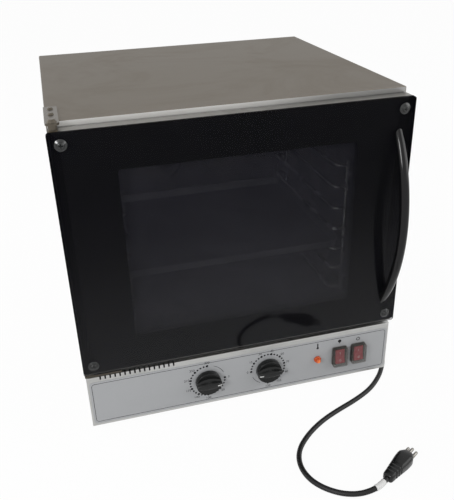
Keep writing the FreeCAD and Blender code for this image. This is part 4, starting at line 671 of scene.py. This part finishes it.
def scatter(name, shape, spots, material, size=1.0):
    """A plain mesh of copies of a shape at (place, euler turn, scale) spots."""
    points = bpy.data.meshes.new(name + "_points")
    points.from_pydata([spot[0] for spot in spots], [], [])
    points.attributes.new("turn", "FLOAT_VECTOR", "POINT")
    points.attributes.new("scale", "FLOAT", "POINT")
    for k, spot in enumerate(spots):
        points.attributes["turn"].data[k].vector = spot[1]
        points.attributes["scale"].data[k].value = spot[2]
    holder = put(name + "_points", points)
    modifier = holder.modifiers.new("copies", "NODES")
    modifier.node_group = scatter_tree()
    names = {item.name: item.identifier for item in modifier.node_group.interface.items_tree
             if item.in_out == "INPUT"}
    for label, value in (("Shape", shape), ("Material", finish(material)), ("Size", size)):
        modifier[names[label]] = value
    mesh = plain_mesh(holder)
    if not mesh.polygons:
        raise RuntimeError(f"{name}: no copies were made")
    mesh.name = name
    holder.modifiers.remove(modifier)
    bpy.data.objects.remove(holder)
    bpy.data.meshes.remove(points)
    return put(name, mesh)


# Operators

class OVEN_OT_stage(bpy.types.Operator):
    """Pale floor, soft studio lamps, white surroundings and the camera"""

    bl_idname = "oven.stage"
    bl_label = "Stage"

    def execute(self, context):
        scene = context.scene
        scene.view_settings.view_transform = "Standard"
        bm = bmesh.new()
        prism(bm, rounded(FLOOR_HALF, FLOOR_HALF, FLOOR_CORNER), FLOOR_FOOT, FLOOR_TOP, Matrix())
        floor = done_mesh("floor", bm)
        floor.data.materials.append(self.floor_material())
        self.world(scene)
        for lamp in LAMPS:
            self.lamp(*lamp)
        data = bpy.data.cameras.new("camera")
        data.lens = CAMERA_LENS
        data.sensor_width = CAMERA_SENSOR
        camera = put("camera", data)
        camera.location = CAMERA_PLACE
        camera.rotation_euler = [math.radians(angle) for angle in CAMERA_TURN]
        scene.camera = camera
        return {"FINISHED"}

    def seen(self, tree):
        """One where a camera, glossy or transmission ray arrives."""
        path = add(tree, "ShaderNodeLightPath").outputs
        direct = maths(tree, "MAXIMUM", path["Is Camera Ray"], path["Is Glossy Ray"])
        return maths(tree, "MAXIMUM", direct, path["Is Transmission Ray"])

    def floor_material(self):
        """A floor that looks white and is lit as a pale one."""
        made, tree, shader = blank_material("pale_floor")
        give(tree, shader, Base_Color=(*colours().floor, 1.0), Roughness=0.9, Specular_IOR_Level=0.0)
        white = add(tree, "ShaderNodeEmission", Color=WHITE, Strength=1.0).outputs["Emission"]
        share = maths(tree, "MULTIPLY", self.seen(tree), FLOOR_GLOW)
        mixed = operate(tree, "ShaderNodeMixShader", share, shader.outputs["BSDF"], white)
        give(tree, tree.nodes["Material Output"], Surface=mixed)
        return made

    def world(self, scene):
        """Surroundings that look white and light the oven softly."""
        scene.world = bpy.data.worlds.new("studio")
        scene.world.use_nodes = True
        tree = scene.world.node_tree
        tree.nodes.clear()
        soft, white = [add(tree, "ShaderNodeBackground", Color=WHITE, Strength=strength).outputs["Background"]
                       for strength in (SURROUNDINGS, 1.0)]
        mixed = operate(tree, "ShaderNodeMixShader", self.seen(tree), soft, white)
        add(tree, "ShaderNodeOutputWorld", Surface=mixed)

    def lamp(self, name, at, size, power):
        data = bpy.data.lights.new(name, "AREA")
        data.size = size
        data.energy = power
        lamp = put(name, data)
        lamp.location = at
        lamp.rotation_euler = (LAMP_AIM - Vector(at)).to_track_quat("-Z", "Y").to_euler()


class OVEN_OT_lead(bpy.types.Operator):
    """The mains lead with its plug and the plain sleeve behind it"""

    bl_idname = "oven.lead"
    bl_label = "Mains lead"

    def execute(self, context):
        size = sizes()
        lead = self.spline("mains_lead", size.lead_diameter / 2)
        dress(lead, "cabinet", "cord_rubber", replaced=["power_cord"])
        route = self.spline("lead_line", 0)
        mesh = plain_mesh(route)
        line = [v.co.copy() for v in mesh.vertices]
        bpy.data.objects.remove(route)
        bpy.data.meshes.remove(mesh)
        parts = [self.sleeve(line, size), *self.plug(), NODES["cable_gland"]]
        return {"FINISHED"}

    def spline(self, name, radius):
        """A round lead along the route, or its bare line where the radius is nothing."""
        curve = bpy.data.curves.new(name, "CURVE")
        curve.dimensions = "3D"
        curve.bevel_depth = radius
        curve.bevel_resolution = 5
        curve.resolution_u = 8
        curve.use_fill_caps = radius > 0
        spline = curve.splines.new("NURBS")
        spline.points.add(len(LEAD_ROUTE) - 1)
        for point, spot in zip(spline.points, LEAD_ROUTE):
            point.co = (*[c * MM for c in spot], 1.0)
        spline.order_u = 3
        spline.use_endpoint_u = True
        return put(name, curve)

    def sleeve(self, line, size):
        """A tube round the lead, from near the plug backwards along it."""
        if (line[-1] - LEAD_END).length < (line[0] - LEAD_END).length:
            line = line[::-1]
        start = size.lead_diameter * SLEEVE_GAP
        travelled = 0.0
        kept = []
        for here, after in zip(line, line[1:]):
            if start < travelled < start + size.sleeve_length:
                kept.append((here, (after - here).normalized()))
            travelled += (after - here).length
        inner = size.lead_diameter / 2
        outer = inner + SLEEVE_WALL
        bm = bmesh.new()
        rings = []
        for radius, (centre, along) in [(inner, kept[0]), *[(outer, spot) for spot in kept], (inner, kept[-1])]:
            across = along.cross(UP).normalized()
            up = across.cross(along)
            rings.append([bm.verts.new(centre + radius * (math.cos(a) * across + math.sin(a) * up))
                          for a in circle(SLEEVE_STEPS)])
        skin(bm, rings)
        return dress(done_mesh("lead_sleeve", bm, outward=True), "cabinet", "cord_rubber", "white_print")

    def plug(self):
        """A moulded plug, narrow and blunt at the lead and wide at its chamfered front, with three pins."""
        along = (LEAD_END - Vector(LEAD_ROUTE[-2]) * MM).normalized()
        turn = Matrix.Translation(LEAD_END) @ Matrix((UP.cross(along), UP, along)).transposed().to_4x4()
        notches = [(spot + step, half + change, half * flatness) for spot, half in PLUG_NOTCHES
                   for step, change, flatness in NOTCH_STEPS]
        bm = bmesh.new()
        rings = []
        for spot, half_x, half_y in PLUG_TAIL + notches + PLUG_HEAD:
            outline = rounded(half_x * MM, half_y * MM, min(half_x, half_y) * PLUG_ROUNDING * MM, steps=6)
            rings.append(ring(bm, turn, [(x, y, spot * MM) for x, y in outline]))
        skin(bm, rings)
        bm.faces.new(rings[0][::-1])
        bm.faces.new(rings[-1])
        body = dress(done_mesh("plug_moulding", bm, outward=True), "cabinet", "black_plastic", "knob_black",
                     ["plug_body"])
        bm = bmesh.new()
        for x, y in PIN_SPOTS:
            lathe(bm, [(r * MM, z * MM) for r, z in PIN_OUTLINE], 20, turn @ Matrix.Translation((x * MM, y * MM, 0)))
        return body, dress(done_mesh("plug_prongs", bm), "cabinet", "pin_brass", replaced=["plug_pins"])


class OVEN_OT_finishes(bpy.types.Operator):
    """The finish of every CAD solid, by its material slot"""

    bl_idname = "oven.finishes"
    bl_label = "Finishes"

    # Nodes that look unlike the rest of their slot
    own = {
        # The front frame takes the finish that carries a painted highlight.
        "front_frame": "front_lip",
        "door_frame": "door_sheet",
        "glass_washers": "dark_plating",
        "hinge_bracket_screws": "hinge_steel",
        "upper_hinge_pin": "hinge_steel",
        "lower_hinge_pin": "hinge_steel",
    }

    def execute(self, context):
        for part in frame["record"]["subparts"]:
            node = NODES[part["node"]]
            made = finish(self.own.get(part["node"], part["material_slot"]))
            if not node.data.materials:
                node.data.materials.append(made)
            for holder in node.material_slots:
                holder.material = made
        return {"FINISHED"}


class OVEN_OT_knobs(bpy.types.Operator):
    """Two dial knobs with a grip ridge between scooped sides"""

    bl_idname = "oven.knobs"
    bl_label = "Dial knobs"

    def execute(self, context):
        for kind, dial in DIALS.items():
            turn = at_front(dial.x, CONTROL_Z)
            body = f"{kind}_dial"
            bm = bmesh.new()
            self.knob(bm, turn)
            dress(done_mesh(f"{kind}_knob_moulding", bm), body, "knob_black", replaced=[f"{kind}_knob"])
            bm = bmesh.new()
            self.pointer(bm, turn, dial.pointer)
            dress(done_mesh(f"{kind}_pointer", bm, outward=True), body, "knob_black", "white_print")
        return {"FINISHED"}

    def level(self, x, y):
        """Height of the knob's face above the panel."""
        size = sizes()
        reach = math.hypot(x, y) / size.knob_radius
        along = x / size.knob_radius
        half = size.ridge_half * math.sqrt(max(0.05, 1 - (along / 1.12) ** 2))
        side = min(1.0, max(0.0, (abs(y) / half - 0.45) / 0.55))
        ridge = 1 - side * side * (3 - 2 * side)
        scoop = -SCOOP_DEPTH * (1 - reach ** 2) * (1 - ridge)
        rise = (size.knob_height - size.knob_skirt) * (1 - 0.28 * along ** 2)
        return size.knob_gap + size.knob_skirt + scoop + ridge * rise

    def knob(self, bm, turn):
        """A skirt that ends in the ridge and scoops of the face, closed at the back."""
        size = sizes()
        low = size.knob_gap

        def round_at(reach, height):
            radius = size.knob_radius * reach
            spots = [(radius * math.cos(a), radius * math.sin(a)) for a in circle(KNOB_STEPS)]
            return ring(bm, turn, [(x, y, height(x, y)) for x, y in spots])

        skirt = [round_at(0.9, lambda x, y: low), round_at(0.98, lambda x, y: low),
                 round_at(1, lambda x, y: low + KNOB_EDGE),
                 round_at(1, lambda x, y: self.level(x, y) - KNOB_EDGE * 1.4)]
        face = [round_at(reach, self.level) for reach in KNOB_REACHES]
        centre = ring(bm, turn, [(0, 0, self.level(0, 0))])
        back = ring(bm, turn, [(0, 0, low)])
        skin(bm, [back, *skirt, *face, centre])

    def pointer(self, bm, turn, side):
        """A short painted line along the ridge at the end that points."""
        rows = []
        for k in range(POINTER_STEPS + 1):
            x = side * sizes().knob_radius * (POINTER_FROM + (POINTER_TO - POINTER_FROM) * k / POINTER_STEPS)
            low, high = [self.level(x, 0) + height for height in (POINTER_FOOT, POINTER_TOP)]
            rows.append(ring(bm, turn, [(x, -POINTER_HALF, low), (x, POINTER_HALF, low),
                                        (x, POINTER_HALF, high), (x, -POINTER_HALF, high)]))
        skin(bm, rows)
        bm.faces.new(rows[0])
        bm.faces.new(rows[-1])


class OVEN_OT_panel_print(bpy.types.Operator):
    """Border line, dial dots, numbers, strokes and symbols on the panel film"""

    bl_idname = "oven.panel_print"
    bl_label = "Panel print"

    def execute(self, context):
        size = sizes()
        dress(self.dots(size), "cabinet", "overlay_film", "black_ink")
        for name, parts in (("dial_numbers", [self.numbers]),
                            ("panel_lines", [self.strokes, self.symbols, self.border])):
            bm = bmesh.new()
            for draw in parts:
                draw(bm, size)
            dress(done_mesh(name, bm), "cabinet", "overlay_film", "black_ink")
        return {"FINISHED"}

    def dots(self, size):
        """Round dots along both dials, pressed to one ink thickness whatever their radius."""
        bm = bmesh.new()
        lathe(bm, [(0, 0), (1, 0), (1, 1), (0, 1)], 14, Matrix())
        dot = done_mesh("ink_dot", bm)
        spots = []
        for dial in DIALS.values():
            for k in range(DIAL_STEPS + 1):
                x, z = dial.spot(size.dial_radius, k)
                larger = size.mark_radius / size.dot_radius if k in dial.numbers else 1.0
                spots.append(((x, OVERLAY_FRONT, z), (math.radians(90), 0, 0), larger))
        made = scatter("dial_dots", dot, spots, "black_ink", size.dot_radius)
        for vertex in made.data.vertices:
            if vertex.co.y < OVERLAY_FRONT - size.dot_radius / 2:
                vertex.co.y = OVERLAY_FRONT - size.ink_thickness
        bpy.data.objects.remove(dot)
        return made

    def numbers(self, bm, size):
        for dial in DIALS.values():
            for dot, number in dial.numbers.items():
                spot = at_front(*dial.spot(size.number_radius, dot))
                letters(bm, str(number), size.number_height, size.ink_thickness, spot)

    def strokes(self, bm, size):
        half = size.stroke_width / 2
        for dial in DIALS.values():
            outline = arc_strip(size.dial_radius + half, size.dial_radius - half, *dial.stroke, 14)
            prism(bm, outline, 0, size.ink_thickness, at_front(dial.x, CONTROL_Z))

    def symbols(self, bm, size):
        """A thermometer over the pilot lamp, a bulb over the left switch and an on mark over the right one."""
        grow = Matrix.Diagonal((size.symbol_scale, size.symbol_scale, 1, 1))
        for x, z, outlines in (
                (PILOT_X, PILOT_SYMBOL_Z, [capsule(0.0022, 0.0006, (0, 0.0010)),
                                           arc((0, -0.0022), 0.0013, 0, 330, 14)]),
                (SWITCH_X["left"], SWITCH_SYMBOL_Z["left"], [arc((0, 0.0008), 0.0019, -50, 230, 16),
                                                             rounded(0.0008, 0.0004, 0.0002, (0, -0.0014))]),
                (SWITCH_X["right"], SWITCH_SYMBOL_Z["right"], [arc_strip(0.0021, 0.0014, 115, 425, 20),
                                                               capsule(0.0008, 0.0003, (0, 0.0017))])):
            for outline in outlines:
                prism(bm, outline, 0, size.ink_thickness, at_front(x, z) @ grow)

    def border(self, bm, size):
        half_x = (OVERLAY_HIGH.x - OVERLAY_LOW.x) / 2
        half_z = (OVERLAY_HIGH.z - OVERLAY_LOW.z) / 2
        outer, inner = [rounded(half_x - size.border_inset - step, half_z - size.border_inset - step,
                                size.border_corner - step) for step in (0, size.border_width)]
        band(bm, outer, inner, 0, size.ink_thickness, at_front(0, (OVERLAY_HIGH.z + OVERLAY_LOW.z) / 2))


class OVEN_OT_switch_marks(bpy.types.Operator):
    """Plain off and on marks on the rockers"""

    bl_idname = "oven.switch_marks"
    bl_label = "Switch marks"

    def execute(self, context):
        for side, x in SWITCH_X.items():
            node = f"switch_rocker_{side}"
            rocker = surface_of(node)
            bm = bmesh.new()
            turn = self.seat(node, rocker, x, CONTROL_Z - SWITCH_MARK_RISE)
            outer, inner = [arc((0, 0), radius, 0, 345, 23) for radius in (0.0019, 0.0012)]
            band(bm, outer, inner, MARK_FOOT, MARK_TOP, turn)
            turn = self.seat(node, rocker, x, CONTROL_Z + SWITCH_MARK_RISE)
            prism(bm, capsule(0.0016, 0.0004), MARK_FOOT, MARK_TOP, turn)
            dress(done_mesh(f"switch_marks_{side}", bm, outward=True), f"{side}_rocker", "red_plastic", "white_print")
        return {"FINISHED"}

    def seat(self, node, rocker, x, z):
        """Where a mark lies on the face of a rocker."""
        spot, normal, _, _ = rocker.ray_cast(Vector((x, -0.4, z)), Vector((0, 1, 0)))
        if spot is None:
            raise RuntimeError(f"no rocker face behind the mark on {node}")
        return Matrix.Translation(spot) @ normal.to_track_quat("Z", "Y").to_matrix().to_4x4()


class OVEN_OT_pilot_lens(bpy.types.Operator):
    """Domed amber lens of the pilot lamp with its rim"""

    bl_idname = "oven.pilot_lens"
    bl_label = "Pilot lens"

    def execute(self, context):
        low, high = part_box("pilot_lamp_lens")
        radius = (high.x - low.x) / 2
        height = high.y - low.y
        rim = height * 0.30
        dome = radius * 0.84
        profile = [(0, 0), (radius, 0), (radius, height * 0.22), (radius * 0.93, rim), (dome, rim)]
        profile += [(dome * math.cos(a), rim + (height - rim) * math.sin(a))
                    for a in (math.radians(degrees) for degrees in range(10, 90, 10))]
        bm = bmesh.new()
        lathe(bm, profile + [(0, height)], 40, at_front(PILOT_X, CONTROL_Z, high.y))
        dress(done_mesh("pilot_lens_dome", bm), "cabinet", "amber_lens", replaced=["pilot_lamp_lens"])
        return {"FINISHED"}


class OVEN_OT_screws(bpy.types.Operator):
    """Cross-recess screws of the door glass and the rear panel"""

    bl_idname = "oven.screws"
    bl_label = "Screws"

    def execute(self, context):
        for node, body, facing, height, shank, plating in SCREWS:
            boxes = self.solids(node)
            low, high = boxes[0]
            screw = self.screw((high.x - low.x) / 2, height, shank, high.y - low.y - height)
            spots = []
            for low, high in boxes:
                seat = low.y + height if facing < 0 else high.y - height
                middle = (low + high) / 2
                spots.append(((middle.x, seat, middle.z), (-facing * math.pi / 2, 0, 0), 1.0))
            dress(scatter(f"{node}_crossed", screw, spots, plating), body, "bright_steel", plating, [node])
            bpy.data.objects.remove(screw)
        return {"FINISHED"}

    def screw(self, radius, height, shank, depth):
        """A domed screw with a cross recess, head up along z, seated at z 0."""
        outline = [(0, -depth), (shank, -depth), (shank, 0)]
        outline += [(radius * aside, height * up) for aside, up in SCREW_DOME]
        bm = bmesh.new()
        lathe(bm, outline + [(0, height)], sizes().screw_steps, Matrix())
        head = done_mesh("screw", bm)
        bm = bmesh.new()
        reach, half = radius * CROSS_REACH, radius * CROSS_HALF
        arm = [(reach, -half), (reach, half), (half, half)]
        cross = []
        for _ in range(4):
            cross += arm
            arm = [(-y, x) for x, y in arm]
        prism(bm, cross, height * CROSS_FLOOR, height * CROSS_TOP, Matrix())
        tool = done_mesh("screw_cross", bm)
        carve = head.modifiers.new("recess", "BOOLEAN")
        carve.operation = "DIFFERENCE"
        carve.object = tool
        mesh = plain_mesh(head)
        head.modifiers.remove(carve)
        head.data = mesh
        bpy.data.objects.remove(tool)
        return head

    def solids(self, node):
        """The box of each screw, read from the CAD node."""
        bm = bmesh.new()
        bm.from_mesh(NODES[node].data)
        bmesh.ops.remove_doubles(bm, verts=bm.verts, dist=1e-6)
        boxes = []
        seen = set()
        for vertex in bm.verts:
            if vertex in seen:
                continue
            seen.add(vertex)
            stack = [vertex]
            island = []
            while stack:
                current = stack.pop()
                island.append(current.co.copy())
                others = [edge.other_vert(current) for edge in current.link_edges]
                stack += [other for other in others if other not in seen]
                seen.update(others)
            boxes.append([Vector([pick(spot[k] for spot in island) for k in range(3)]) for pick in (min, max)])
        bm.free()
        return boxes


class OVEN_PT_panel(bpy.types.Panel):
    """Oven pieces in the sidebar"""

    bl_idname = "OVEN_PT_panel"
    bl_label = "Convection oven"
    bl_space_type = "VIEW_3D"
    bl_region_type = "UI"
    bl_category = "Oven"

    def draw(self, context):
        for operator in OPERATORS:
            self.layout.operator(operator.bl_idname)
        for group in (context.scene.oven_sizes, context.scene.oven_colours):
            for key in group.__annotations__:
                self.layout.prop(group, key)


OPERATORS = (OVEN_OT_stage, OVEN_OT_lead, OVEN_OT_finishes, OVEN_OT_knobs, OVEN_OT_panel_print,
             OVEN_OT_switch_marks, OVEN_OT_pilot_lens, OVEN_OT_screws)
CLASSES = (OvenSizes, OvenColours) + OPERATORS + (OVEN_PT_panel,)


def register():
    for item in CLASSES:
        bpy.utils.register_class(item)
    bpy.types.Scene.oven_sizes = PointerProperty(type=OvenSizes)
    bpy.types.Scene.oven_colours = PointerProperty(type=OvenColours)


def unregister():
    del bpy.types.Scene.oven_colours
    del bpy.types.Scene.oven_sizes
    for item in reversed(CLASSES):
        bpy.utils.unregister_class(item)


def main():
    register()
    for operator in OPERATORS:
        getattr(bpy.ops.oven, operator.bl_idname.split(".")[1])()


if __name__ == "__main__":
    main()
